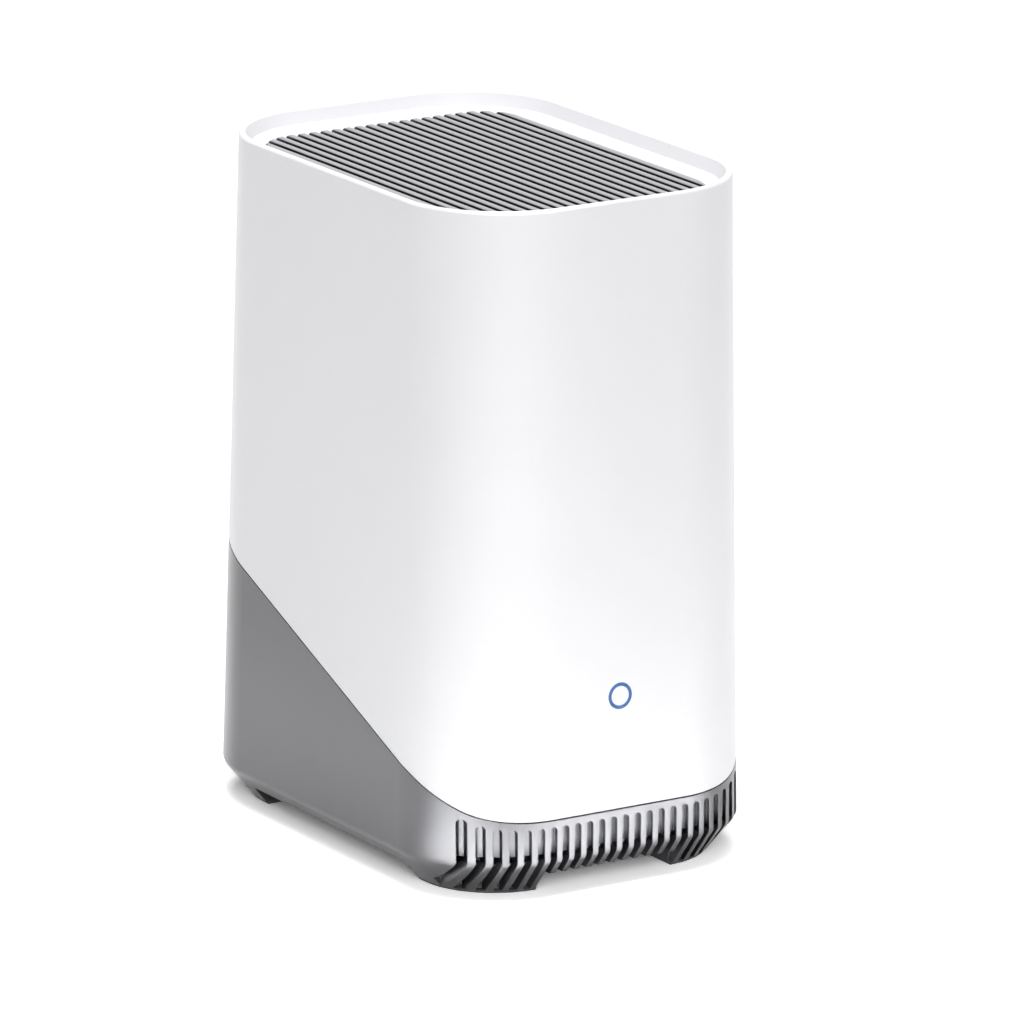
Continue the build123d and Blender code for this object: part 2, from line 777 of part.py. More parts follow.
with BuildPart() as speaker_cone:
    with BuildSketch(Plane.XY.offset(driver_bottom)):
        with Locations((0, speaker_y)):
            SlotOverall(cone_length, cone_width)
    with BuildSketch(Plane.XY.offset(speaker_box_bottom + cone_depth)):
        with Locations((0, speaker_y)):
            SlotOverall(cone_length / 2, cone_width / 2)
    loft(ruled=True)
    with BuildSketch(Plane.XY.offset(driver_bottom)):
        with Locations((0, speaker_y)):
            SlotOverall(cone_length - 2 * cone_thickness, cone_width - 2 * cone_thickness)
    with BuildSketch(Plane.XY.offset(speaker_box_bottom + cone_depth - cone_thickness)):
        with Locations((0, speaker_y)):
            SlotOverall(cone_length / 2 - 2 * cone_thickness, cone_width / 2 - 2 * cone_thickness)
    loft(ruled=True, mode=Mode.SUBTRACT)
save(speaker_cone, "speaker_cone")

# Drive cage: folded steel sleeve, open below, on two tabs screwed to the floor's bosses
cage_slot_length = 15.0
cage_slot_width = 4.0
cage_slot_rows = 4
cage_slot_columns = 3
cage_slot_pitch_y = 21.0
cage_slot_pitch_z = 22.0
sata_length = 38.0
sata_width = 5.6
sata_height = 8.0
sata_x = 15.2
sata_y = -11.0
sata_board_length = 62.0
sata_board_width = 13.0
board_thickness = 1.6

cage_screw_places = [(x, y) for x in cage_screw_x for y in (-cage_screw_y, cage_screw_y)]
with BuildPart() as drive_cage:
    add(
        slab(
            (bay_x - cage_outer_x, bay_x + cage_outer_x),
            (-cage_outer_y, cage_outer_y),
            (cage_bottom, cage_top),
        )
    )
    with BuildSketch(Plane.XY.offset(cage_tab_height)):
        with Locations((bay_x, 0)):
            Rectangle(cage_tab_width, 2 * (cage_outer_y + cage_tab_length))
    extrude(amount=cage_wall)
    add(
        slab(
            (bay_x - cage_inner_x, bay_x + cage_inner_x),
            (-cage_inner_y, cage_inner_y),
            (cage_bottom, cage_top - cage_wall),
        ),
        mode=Mode.SUBTRACT,
    )
    with BuildSketch(Plane.YZ.offset(bay_x - cage_outer_x)):
        with Locations((0, (cage_bottom + cage_top) / 2)):
            with GridLocations(
                cage_slot_pitch_y, cage_slot_pitch_z, cage_slot_columns, cage_slot_rows
            ):
                SlotOverall(cage_slot_length, cage_slot_width)
    extrude(amount=2 * cage_outer_x, mode=Mode.SUBTRACT)
    with BuildSketch(Plane.XY.offset(cage_top)):
        with Locations((sata_x, sata_y)):
            Rectangle(sata_width + 2 * fit_gap, sata_length + 2 * fit_gap)
    extrude(amount=-cage_wall, mode=Mode.SUBTRACT)
    with BuildSketch(Plane.XY.offset(cage_tab_height)):
        with Locations(cage_screw_places):
            Circle(m3_hole)
    extrude(amount=cage_wall, mode=Mode.SUBTRACT)
save(drive_cage, "drive_cage")

# Drive socket: a connector that hangs through the cage's top from its own small board
with BuildPart() as sata_board:
    with BuildSketch(Plane.XY.offset(cage_top)):
        with Locations((bay_x, sata_y)):
            Rectangle(sata_board_width, sata_board_length)
    extrude(amount=board_thickness)
save(sata_board, "sata_board")

with BuildPart() as sata_socket:
    with BuildSketch(Plane.XY.offset(cage_top)):
        with Locations((sata_x, sata_y)):
            Rectangle(sata_width, sata_length)
    extrude(amount=-sata_height)
save(sata_socket, "sata_socket")

# Main board: stands upright beside the cage on four brass spacers, its ports facing the back
board_x = 0.4
board_setback = 31.65
board_back_gap = 1.0
board_bottom = 13.0
board_top = 128.0
spacer_radius = 2.6
spacer_inset = 10.0
spacer_rise = 11.0
spacer_drop = 30.0

board_front = body_depth / 2 - board_setback
board_back = pocket_floor_y - pocket_floor_thickness - board_back_gap
spacer_places = [
    (y, z)
    for y in (spacer_inset - board_front, board_front - spacer_inset)
    for z in (board_bottom + spacer_rise, board_top - spacer_drop)
]
board_face_x = board_x + board_thickness
cage_face_x = bay_x - cage_outer_x

with BuildPart() as main_board:
    add(slab((board_x, board_face_x), (-board_front, board_back), (board_bottom, board_top)))
    with BuildSketch(Plane.YZ.offset(board_x)):
        with Locations(spacer_places):
            Circle(m3_hole)
    extrude(amount=board_thickness, mode=Mode.SUBTRACT)
save(main_board, "main_board")

with BuildPart() as board_spacers:
    with BuildSketch(Plane.YZ.offset(board_face_x)):
        with Locations(spacer_places):
            RegularPolygon(spacer_radius, 6)
            Circle(m3_hole, mode=Mode.SUBTRACT)
    extrude(amount=cage_face_x - board_face_x)
save(board_spacers, "board_spacers")


def on_board(places, length, height, thickness):
    """Flat chips on the board's left face, at pairs of Y and Z, with their size along Y and Z."""
    with BuildPart() as chips:
        with BuildSketch(Plane.YZ.offset(board_x)):
            with Locations(places):
                Rectangle(length, height)
        extrude(amount=-thickness)
    return chips


# Processor with its thermal pad and a finned heatsink that stands in the rising air
processor_y = -8.0
processor_z = 78.0
processor_side = 17.0
processor_thickness = 1.2
thermal_pad_thickness = 0.5
heatsink_length = 44.0
heatsink_height = 50.0
heatsink_base = 3.0
fin_height = 15.0
fin_thickness = 1.2
fin_pitch = 5.35
fin_count = 9

processor_place = (processor_y, processor_z)
processor = on_board([processor_place], processor_side, processor_side, processor_thickness)
save(processor, "processor")

with BuildPart() as thermal_pad:
    with BuildSketch(Plane.YZ.offset(board_x - processor_thickness)):
        with Locations(processor_place):
            Rectangle(processor_side, processor_side)
    extrude(amount=-thermal_pad_thickness)
save(thermal_pad, "thermal_pad")

with BuildPart() as heatsink:
    with BuildSketch(Plane.YZ.offset(board_x - processor_thickness - thermal_pad_thickness)):
        with Locations(processor_place):
            Rectangle(heatsink_length, heatsink_height)
    extrude(amount=-heatsink_base)
    with BuildSketch(
        Plane.YZ.offset(board_x - processor_thickness - thermal_pad_thickness - heatsink_base)
    ):
        with Locations(processor_place):
            with GridLocations(fin_pitch, fin_pitch, fin_count, 1):
                Rectangle(fin_thickness, heatsink_height)
    extrude(amount=-fin_height)
save(heatsink, "heatsink")

# Other parts on the main board
memory_y = 28.0
memory_z = 60.0
memory_pitch = 14.0
memory_count = 3
memory_length = 13.0
memory_height = 10.0
memory_thickness = 1.1
capacitor_y = 26.0
capacitor_z = 21.0
capacitor_pitch = 9.0
capacitor_count = 3
capacitor_radius = 3.15
capacitor_height = 8.5
shield_wall = 0.4
shield_height = 2.8
shield_length = 26.0
shield_width = 22.0
shield_drop = 13.0
wifi_y = -26.0
radio_y = 8.0
header_inset = 4.0
fan_header_z = 88.0
light_header_z = 60.0
speaker_header_z = 40.0
header_length = 5.0
header_height = 6.0
header_depth = 5.0

header_y = header_inset - board_front
memory_places = [(memory_y, memory_z + number * memory_pitch) for number in range(memory_count)]
capacitor_places = [
    (capacitor_y, capacitor_z + number * capacitor_pitch) for number in range(capacitor_count)
]
save(on_board(memory_places, memory_length, memory_height, memory_thickness), "memory_chips")
header_places = [(header_y, z) for z in (fan_header_z, light_header_z, speaker_header_z)]
save(on_board(header_places, header_length, header_height, header_depth), "lead_headers")

with BuildPart() as capacitors:
    with BuildSketch(Plane.YZ.offset(board_x)):
        with Locations(capacitor_places):
            Circle(capacitor_radius)
    extrude(amount=-capacitor_height)
save(capacitors, "capacitors")

for shield_name, shield_y in (("wifi_shield", wifi_y), ("radio_shield", radio_y)):
    with BuildPart() as shield:
        with BuildSketch(Plane.YZ.offset(board_x)):
            with Locations((shield_y, board_top - shield_drop)):
                Rectangle(shield_length, shield_width)
        extrude(amount=-shield_height)
        with BuildSketch(Plane.YZ.offset(board_x)):
            with Locations((shield_y, board_top - shield_drop)):
                Rectangle(shield_length - 2 * shield_wall, shield_width - 2 * shield_wall)
        extrude(amount=-shield_height + shield_wall, mode=Mode.SUBTRACT)
    save(shield, shield_name)

# Network socket: square jack lying on its side, with eight spring contacts inside
lan_depth = 18.0
lan_mouth_width = 11.8
lan_mouth_height = 8.0
lan_mouth_depth = 13.5
lan_key_width = 6.2
lan_key_depth = 1.8
lan_contact_count = 8
lan_contact_pitch = 1.02
lan_contact_width = 0.45
lan_contact_length = 8.0
lan_contact_rise = 1.1

port_face = back_plane.offset(panel_face_y)
lan_mouth_x = port_x - lan_key_depth / 2
with BuildPart() as lan_jack:
    with BuildSketch(port_face):
        with Locations((-port_x, lan_z)):
            Rectangle(lan_height, lan_width)
    extrude(amount=-lan_depth)
    with BuildSketch(port_face):
        with Locations((-lan_mouth_x, lan_z)):
            Rectangle(lan_mouth_height, lan_mouth_width)
        with Locations((-lan_mouth_x - lan_mouth_height / 2, lan_z)):
            Rectangle(lan_key_depth, lan_key_width, align=(Align.MAX, Align.CENTER))
    extrude(amount=-lan_mouth_depth, mode=Mode.SUBTRACT)
save(lan_jack, "lan_jack")

with BuildPart() as lan_contacts:
    with BuildSketch(port_face.offset(-lan_mouth_depth)):
        with Locations((-lan_mouth_x + lan_mouth_height / 2, lan_z)):
            with GridLocations(lan_contact_pitch, lan_contact_pitch, 1, lan_contact_count):
                Rectangle(lan_contact_rise, lan_contact_width, align=(Align.MAX, Align.CENTER))
    extrude(amount=lan_contact_length)
save(lan_contacts, "lan_contacts")

# Power socket: round-collared barrel jack with a centre pin
dc_depth = 14.5
dc_body_width = 10.0
dc_bore_radius = 3.0
dc_bore_depth = 10.0
dc_pin_radius = 1.0
dc_pin_length = 9.0

dc_body_face = panel_face_y - panel_thickness - pocket_floor_thickness - window_gap
with BuildPart() as dc_jack:
    with BuildSketch(back_plane.offset(dc_body_face)):
        with Locations((-board_x, dc_z)):
            Rectangle(
                2 * (board_x - port_x), dc_body_width, align=(Align.MIN, Align.CENTER)
            )
    extrude(amount=-dc_depth + (panel_face_y - dc_body_face))
    with BuildSketch(back_plane.offset(dc_body_face)):
        with Locations((-port_x, dc_z)):
            Circle(dc_collar_radius)
    extrude(amount=panel_face_y - dc_body_face)
    with BuildSketch(port_face):
        with Locations((-port_x, dc_z)):
            Circle(dc_bore_radius)
    extrude(amount=-dc_bore_depth, mode=Mode.SUBTRACT)
save(dc_jack, "dc_jack")

with BuildPart() as dc_pin:
    with BuildSketch(port_face.offset(-dc_bore_depth)):
        with Locations((-port_x, dc_z)):
            Circle(dc_pin_radius)
    extrude(amount=dc_pin_length)
save(dc_pin, "dc_pin")

# USB socket: steel shell over a plastic tongue, standing on its edge
usb_depth = 17.0
usb_shell_wall = 0.35
usb_tongue_thickness = 1.84
usb_tongue_width = 11.1
usb_tongue_setback = 0.6
usb_block_depth = 6.0

with BuildPart() as usb_shell:
    with BuildSketch(port_face):
        with Locations((-port_x, usb_z)):
            Rectangle(usb_height, usb_width)
            Rectangle(
                usb_height - 2 * usb_shell_wall, usb_width - 2 * usb_shell_wall, mode=Mode.SUBTRACT
            )
    extrude(amount=usb_block_depth - usb_depth)
save(usb_shell, "usb_shell")

usb_tongue_x = port_x + usb_height / 2 - usb_shell_wall - usb_tongue_thickness
with BuildPart() as usb_insert:
    add(
        slab(
            (port_x - usb_height / 2, board_x),
            (panel_face_y - usb_depth, panel_face_y - usb_depth + usb_block_depth),
            (usb_z - usb_width / 2, usb_z + usb_width / 2),
        )
    )
    add(
        slab(
            (usb_tongue_x - usb_tongue_thickness / 2, usb_tongue_x + usb_tongue_thickness / 2),
            (panel_face_y - usb_depth, panel_face_y - usb_tongue_setback),
            (usb_z - usb_tongue_width / 2, usb_z + usb_tongue_width / 2),
        )
    )
save(usb_insert, "usb_insert")

# Alarm button on the back: a sprung cap over a tact switch, with a reset switch behind a pinhole
switch_setback = 8.2
sync_switch_height = 6.0
sync_switch_depth = 3.6
switch_width = 2 * (board_x - port_x)
plunger_radius = 1.6
plunger_stick_out = 1.6
plunger_socket = 2.4
plunger_buried = 1.2
sync_cap_proud = 0.9
sync_flange_margin = 1.0
sync_flange_thickness = 1.1
sync_flange_gap = 0.1
reset_switch_height = 4.5
reset_switch_depth = 3.6
reset_plunger_radius = 0.8
reset_stick_out = 1.2
reset_socket = 1.6
reset_buried = 0.8

switch_face_y = panel_face_y - switch_setback
with BuildPart() as sync_switch:
    with BuildSketch(back_plane.offset(switch_face_y)):
        with Locations((-board_x, sync_z)):
            Rectangle(switch_width, sync_switch_height, align=(Align.MIN, Align.CENTER))
    extrude(amount=-sync_switch_depth)
    with BuildSketch(back_plane.offset(switch_face_y)):
        with Locations((-port_x, sync_z)):
            Circle(plunger_radius + running_gap)
    extrude(amount=-plunger_socket, mode=Mode.SUBTRACT)
save(sync_switch, "sync_switch")

with BuildPart() as sync_plunger:
    with BuildSketch(back_plane.offset(switch_face_y - plunger_buried)):
        with Locations((-port_x, sync_z)):
            Circle(plunger_radius)
    extrude(amount=plunger_buried + plunger_stick_out)
save(sync_plunger, "sync_plunger")

sync_flange_y = pocket_floor_y - pocket_floor_thickness - sync_flange_gap
with BuildPart() as sync_button:
    with BuildSketch(back_plane.offset(switch_face_y + plunger_stick_out)):
        with Locations((-port_x, sync_z)):
            Circle(plunger_radius)
    extrude(amount=sync_flange_y - switch_face_y - plunger_stick_out)
    with BuildSketch(back_plane.offset(sync_flange_y)):
        with Locations((-port_x, sync_z)):
            RectangleRounded(
                sync_cap_width + 2 * sync_flange_margin,
                sync_cap_height + 2 * sync_flange_margin,
                sync_cap_radius + sync_flange_margin,
            )
    extrude(amount=-sync_flange_thickness)
    with BuildSketch(back_plane.offset(sync_flange_y)):
        with Locations((-port_x, sync_z)):
            RectangleRounded(sync_cap_width, sync_cap_height, sync_cap_radius)
    extrude(amount=panel_face_y + sync_cap_proud - sync_flange_y)
    fillet(sync_button.faces().sort_by(Axis.Y)[-1].edges(), sync_cap_proud / 2)
save(sync_button, "sync_button")

with BuildPart() as reset_switch:
    with BuildSketch(back_plane.offset(switch_face_y)):
        with Locations((-board_x, reset_z)):
            Rectangle(switch_width, reset_switch_height, align=(Align.MIN, Align.CENTER))
    extrude(amount=-reset_switch_depth)
    with BuildSketch(back_plane.offset(switch_face_y)):
        with Locations((-port_x, reset_z)):
            Circle(reset_plunger_radius + running_gap)
    extrude(amount=-reset_socket, mode=Mode.SUBTRACT)
save(reset_switch, "reset_switch")

with BuildPart() as reset_plunger:
    with BuildSketch(back_plane.offset(switch_face_y - reset_buried)):
        with Locations((-port_x, reset_z)):
            Circle(reset_plunger_radius)
    extrude(amount=reset_buried + reset_stick_out)
save(reset_plunger, "reset_plunger")

# Fan tray: plate under the fan, screwed up into the shell, with two tabs for the antennas
fan_y = -4.0
fan_side = 60.0
fan_depth = 15.0
fan_bore_radius = 28.4
fan_corner_radius = 4.0
fan_screw_spread = 50.0
tray_side_gap = 6.05
tray_end_gaps = 39.3
tray_corner_radius = 16.0
antenna_tab_length = 34.0
antenna_tab_drop = 22.0
antenna_tab_thickness = 1.5
fan_lead_x = -12.0
tray_lead_hole = 2.0

tray_half_width = body_width / 2 - tray_side_gap
tray_length = body_depth - tray_end_gaps
fan_bottom = tray_z + tray_thickness
fan_top = fan_bottom + fan_depth
tray_screw_places = [
    (x, y) for x in (-tray_screw_x, tray_screw_x) for y in (-tray_screw_y, tray_screw_y)
]
fan_screw_places = [
    (x, fan_y + y)
    for x in (-fan_screw_spread / 2, fan_screw_spread / 2)
    for y in (-fan_screw_spread / 2, fan_screw_spread / 2)
]
with BuildPart() as fan_tray:
    with BuildSketch(Plane.XY.offset(tray_z)):
        with Locations((0, fan_y)):
            RectangleRounded(2 * tray_half_width, tray_length, tray_corner_radius)
            Circle(fan_bore_radius, mode=Mode.SUBTRACT)
        with Locations(tray_screw_places + fan_screw_places):
            Circle(m2_hole, mode=Mode.SUBTRACT)
        with Locations((fan_lead_x, header_y)):
            Circle(tray_lead_hole, mode=Mode.SUBTRACT)
    extrude(amount=tray_thickness)
    with BuildSketch(Plane.XY.offset(tray_z)):
        for side_sign in (-1, 1):
            with Locations((side_sign * (tray_half_width - antenna_tab_thickness / 2), fan_y)):
                Rectangle(antenna_tab_thickness, antenna_tab_length)
    extrude(amount=-antenna_tab_drop)
save(fan_tray, "fan_tray")

# Fan: square frame with a bearing tube on three struts, coils, and a bladed rotor with its magnet
strut_count = 3
strut_width = 3.0
strut_height = 1.6
hub_plate_radius = 12.0
bearing_tube_radius = 4.0
bearing_radius = 3.0
bearing_height = 8.0
shaft_radius = 1.5
coil_ring_outer = 9.4
coil_ring_height = 6.6
rotor_gap = 1.0
hub_radius = 13.0
hub_wall = 1.2
magnet_thickness = 1.5
magnet_ring_height = 5.5
blade_count = 7
blade_thickness = 1.3
blade_chord = 16.0
blade_pitch = 32.0
blade_tip_radius = 27.6
shaft_floor = 1.0

hub_floor = fan_bottom + strut_height + rotor_gap
hub_top = fan_top - rotor_gap
bearing_bottom = fan_bottom + strut_height
with BuildPart() as fan_frame:
    with BuildSketch(Plane.XY.offset(fan_bottom)):
        with Locations((0, fan_y)):
            RectangleRounded(fan_side, fan_side, fan_corner_radius)
            Circle(fan_bore_radius, mode=Mode.SUBTRACT)
        with Locations(fan_screw_places):
            Circle(m2_hole, mode=Mode.SUBTRACT)
    extrude(amount=fan_depth)
    with BuildSketch(Plane.XY.offset(fan_bottom)):
        with Locations((0, fan_y)):
            Circle(hub_plate_radius)
            with PolarLocations(0, strut_count):
                Rectangle(
                    fan_bore_radius + strut_height, strut_width, align=(Align.MIN, Align.CENTER)
                )
    extrude(amount=strut_height)
    with BuildSketch(Plane.XY.offset(bearing_bottom)):
        with Locations((0, fan_y)):
            Circle(bearing_tube_radius)
            Circle(bearing_radius, mode=Mode.SUBTRACT)
    extrude(amount=bearing_height)
save(fan_frame, "fan_frame")

with BuildPart() as fan_bearing:
    with BuildSketch(Plane.XY.offset(bearing_bottom)):
        with Locations((0, fan_y)):
            Circle(bearing_radius)
            Circle(shaft_radius + running_gap, mode=Mode.SUBTRACT)
    extrude(amount=bearing_height)
save(fan_bearing, "fan_bearing")

with BuildPart() as fan_coils:
    with BuildSketch(Plane.XY.offset(bearing_bottom)):
        with Locations((0, fan_y)):
            Circle(coil_ring_outer)
            Circle(bearing_tube_radius, mode=Mode.SUBTRACT)
    extrude(amount=coil_ring_height)
save(fan_coils, "fan_coils")

blade_height = (hub_floor + hub_top) / 2
with BuildPart() as fan_rotor:
    with Locations((0, fan_y, blade_height)):
        with PolarLocations((hub_radius - hub_wall / 2 + fan_bore_radius) / 2, blade_count):
            Box(
                fan_bore_radius - hub_radius + hub_wall / 2,
                blade_chord,
                blade_thickness,
                rotation=(blade_pitch, 0, 0),
            )
    with BuildSketch(Plane.XY.offset(hub_floor)):
        with Locations((0, fan_y)):
            Circle(blade_tip_radius)
    extrude(amount=hub_top - hub_floor, mode=Mode.INTERSECT)
    with BuildSketch(Plane.XY.offset(hub_floor)):
        with Locations((0, fan_y)):
            Circle(hub_radius)
    extrude(amount=hub_top - hub_floor)
    fillet(fan_rotor.faces().sort_by(Axis.Z)[-1].edges(), hub_wall)
    with BuildSketch(Plane.XY.offset(hub_floor)):
        with Locations((0, fan_y)):
            Circle(hub_radius - hub_wall)
    extrude(amount=hub_top - hub_floor - hub_wall, mode=Mode.SUBTRACT)
save(fan_rotor, "fan_rotor")

with BuildPart() as fan_shaft:
    with BuildSketch(Plane.XY.offset(bearing_bottom + shaft_floor)):
        with Locations((0, fan_y)):
            Circle(shaft_radius)
    extrude(amount=hub_top - hub_wall - bearing_bottom - shaft_floor)
save(fan_shaft, "fan_shaft")

with BuildPart() as fan_magnet:
    with BuildSketch(Plane.XY.offset(hub_floor)):
        with Locations((0, fan_y)):
            Circle(hub_radius - hub_wall)
            Circle(hub_radius - hub_wall - magnet_thickness, mode=Mode.SUBTRACT)
    extrude(amount=magnet_ring_height)
save(fan_magnet, "fan_magnet")

fan_screw = screw(
    m2_head_radius, m2_head_height, m2_radius, fan_depth + tray_thickness, m2_drive
)
with BuildPart() as fan_screws:
    for x, y in fan_screw_places:
        with Locations(at(x, y, fan_top)):
            add(fan_screw)
save(fan_screws, "fan_screws")


def lead(radius, bend, *points):
    """A round lead along straight runs, with every bend of the same radius."""
    with BuildPart() as cable:
        with BuildLine():
            route = FilletPolyline(*points, radius=bend)
        with BuildSketch(Plane(origin=route @ 0, z_dir=route % 0)):
            Circle(radius)
        sweep()
    return cable


# Antennas: thin strips glued to the tray's two tabs, each with its own lead to the board's top edge
antenna_length = 30.0
antenna_height = 14.0
antenna_thickness = 0.8
antenna_lift = 2.0
antenna_lead_drop = 7.0
antenna_lead_spread = 8.0
lead_bend = 3.0

antenna_bottom = tray_z - antenna_tab_drop + antenna_lift
for side_name, side_sign in (("left", -1), ("right", 1)):
    antenna_x = side_sign * (tray_half_width + antenna_thickness / 2)
    lead_y = fan_y + side_sign * antenna_lead_spread
    with BuildPart() as antenna:
        with Locations((antenna_x, fan_y, antenna_bottom)):
            Box(
                antenna_thickness,
                antenna_length,
                antenna_height,
                align=(Align.CENTER, Align.CENTER, Align.MIN),
            )
        add(
            lead(
                antenna_thickness / 2,
                lead_bend,
                (antenna_x, lead_y, antenna_bottom + antenna_lift),
                (antenna_x, lead_y, antenna_bottom - antenna_lead_drop),
                (board_x + board_thickness / 2, lead_y, antenna_bottom - antenna_lead_drop),
                (board_x + board_thickness / 2, lead_y, board_top),
            ).part
        )
    save(antenna, f"antenna_{side_name}")

# Leads from the main board to the fan, the light board and the speaker
lead_radius = 1.0
thin_lead_radius = 0.6
lead_x = -10.0
fan_lead_rise = 6.0

fan_lead_z = fan_bottom + fan_lead_rise
header_face_x = board_x - header_depth

save(
    lead(
        lead_radius,
        lead_bend,
        (header_face_x, header_y, fan_header_z),
        (fan_lead_x, header_y, fan_header_z),
        (fan_lead_x, header_y, fan_lead_z),
        (fan_lead_x, fan_y - fan_side / 2, fan_lead_z),
    ),
    "fan_lead",
)
save(
    lead(
        thin_lead_radius,
        lead_bend,
        (header_face_x, header_y, light_header_z),
        (lead_x, header_y, light_header_z),
        (lead_x, led_board_y + led_board_thickness, light_header_z),
    ),
    "light_lead",
)
save(
    lead(
        thin_lead_radius,
        lead_bend,
        (header_face_x, header_y, speaker_header_z),
        (lead_x, header_y, speaker_header_z),
        (lead_x, -speaker_box_back, speaker_header_z),
    ),
    "speaker_lead",
)

# Drive link: stiff connector that joins the drive socket's board to the main board
link_length = 24.0
link_height = 1.4
with BuildPart() as drive_link:
    add(
        slab(
            (board_face_x, bay_x - sata_board_width / 2),
            (sata_y - link_length / 2, sata_y + link_length / 2),
            (board_top - link_height, board_top),
        )
    )
save(drive_link, "drive_link")

# Drive sled: holds the drive on edge between two rails, its connector end up, open on one side
sled_end_gap = 0.3
drive_hole_radius = 1.6
drive_hole_spread_y = 61.72
drive_hole_spread_z = 76.6
drive_hole_setback = 14.0
drive_head_radius = 3.0
drive_head_depth = 1.4
cover_block_height = 2.5

sled_left = bay_x - sled_depth / 2
sled_right = bay_x + sled_depth / 2
sled_bottom = floor_top + cover_block_height
sled_top = floor_top + sled_length
drive_bottom = sled_top - drive_length
rail_inner_y = drive_width / 2 + drive_space
with BuildPart() as drive_sled:
    add(
        slab(
            (sled_left, sled_left + sled_thickness),
            (-sled_width / 2, sled_width / 2),
            (sled_bottom, sled_top),
        )
    )
    for side_sign in (-1, 1):
        add(
            slab(
                (sled_left, sled_right),
                sorted((side_sign * rail_inner_y, side_sign * sled_width / 2)),
                (sled_bottom, sled_top),
            )
        )
    add(
        slab(
            (sled_left, sled_right),
            (-sled_width / 2, sled_width / 2),
            (sled_bottom, drive_bottom - sled_end_gap),
        )
    )
    with BuildSketch(Plane.YZ.offset(sled_left)):
        with Locations((0, sled_top - drive_hole_setback - drive_hole_spread_z / 2)):
            with GridLocations(drive_hole_spread_y, drive_hole_spread_z, 2, 2):
                Circle(drive_hole_radius)
    extrude(amount=sled_thickness, mode=Mode.SUBTRACT)
    with BuildSketch(Plane.YZ.offset(sled_left)):
        with Locations((0, sled_top - drive_hole_setback - drive_hole_spread_z / 2)):
            with GridLocations(drive_hole_spread_y, drive_hole_spread_z, 2, 2):
                Circle(drive_head_radius)
    extrude(amount=drive_head_depth, mode=Mode.SUBTRACT)
save(drive_sled, "drive_sled")

# Sled cover: fills the floor's opening, with a pocket for the folding handle
pocket_left_inset = 1.2
handle_pocket_width = 11.4
handle_pocket_length = 44.0
handle_pocket_depth = 3.0
handle_recess = 0.3
handle_thickness = 2.2
handle_side_gap = 0.4
handle_arm_width = 2.4
handle_bar_width = 2.2
handle_pin_radius = 0.9
handle_pin_depth = 4.0
scoop_length = 16.0
scoop_reach = 2.4
scoop_depth = 2.0

pocket_left = sled_left + pocket_left_inset
pocket_right = pocket_left + handle_pocket_width
pivot_x = pocket_left + handle_side_gap + handle_thickness / 2
pivot_z = floor_height + handle_recess + handle_thickness / 2
with BuildPart() as sled_cover:
    add(
        slab(
            (bay_x - cover_width / 2, bay_x + cover_width / 2),
            (-cover_length / 2, cover_length / 2),
            (floor_height, floor_top),
        )
    )
    add(slab((sled_left, sled_right), (-sled_width / 2, sled_width / 2), (floor_top, sled_bottom)))
    add(
        slab(
            (pocket_left, pocket_right),
            (-handle_pocket_length / 2, handle_pocket_length / 2),
            (floor_height, floor_height + handle_pocket_depth),
        ),
        mode=Mode.SUBTRACT,
    )
    add(
        slab(
            (pocket_left, pocket_right + scoop_reach),
            (-scoop_length / 2, scoop_length / 2),
            (floor_height, floor_height + scoop_depth),
        ),
        mode=Mode.SUBTRACT,
    )
    with BuildSketch(Plane.XZ.offset(-handle_pocket_length / 2 - handle_pin_depth)):
        with Locations((pivot_x, pivot_z)):
            Circle(handle_pin_radius)
    extrude(amount=handle_pocket_length + 2 * handle_pin_depth, mode=Mode.SUBTRACT)
save(sled_cover, "sled_cover")

# Folding handle: flat bail that swings down out of the pocket on two pins
handle_half_length = handle_pocket_length / 2 - handle_side_gap
handle_right = pocket_right - handle_side_gap
with BuildPart() as sled_handle:
    add(
        slab(
            (pivot_x, handle_right),
            (-handle_half_length, handle_half_length),
            (pivot_z - handle_thickness / 2, pivot_z + handle_thickness / 2),
        )
    )
    with BuildSketch(Plane.XZ.offset(-handle_half_length)):
        with Locations((pivot_x, pivot_z)):
            Circle(handle_thickness / 2)
    extrude(amount=2 * handle_half_length)
    add(
        slab(
            (pocket_left, handle_right - handle_bar_width),
            (handle_arm_width - handle_half_length, handle_half_length - handle_arm_width),
            (floor_height, sled_bottom),
        ),
        mode=Mode.SUBTRACT,
    )
    with BuildSketch(Plane.XZ.offset(-handle_half_length)):
        with Locations((pivot_x, pivot_z)):
            Circle(handle_pin_radius + running_gap)
    extrude(amount=2 * handle_half_length, mode=Mode.SUBTRACT)
save(sled_handle, "sled_handle")

with BuildPart() as handle_pins:
    for side_sign in (-1, 1):
        with BuildSketch(Plane.XZ.offset(-side_sign * (handle_half_length - handle_arm_width))):
            with Locations((pivot_x, pivot_z)):
                Circle(handle_pin_radius)
        extrude(
            amount=-side_sign * (handle_pin_depth + handle_side_gap + handle_arm_width - running_gap)
        )
save(handle_pins, "handle_pins")

# Short M3 screws: four through the cage's tabs, four through the main board into its spacers
m3_short_length = 5.2
m3_short = screw(m3_head_radius, m3_head_height, m3_radius, m3_short_length, m3_drive)
with BuildPart() as m3_short_screws:
    for x, y in cage_screw_places:
        with Locations(at(x, y, cage_tab_height + cage_wall)):
            add(m3_short)
    for y, z in spacer_places:
        with Locations(at(board_x, y, z, (0, -90, 0))):
            add(m3_short)
save(m3_short_screws, "m3_short_screws")

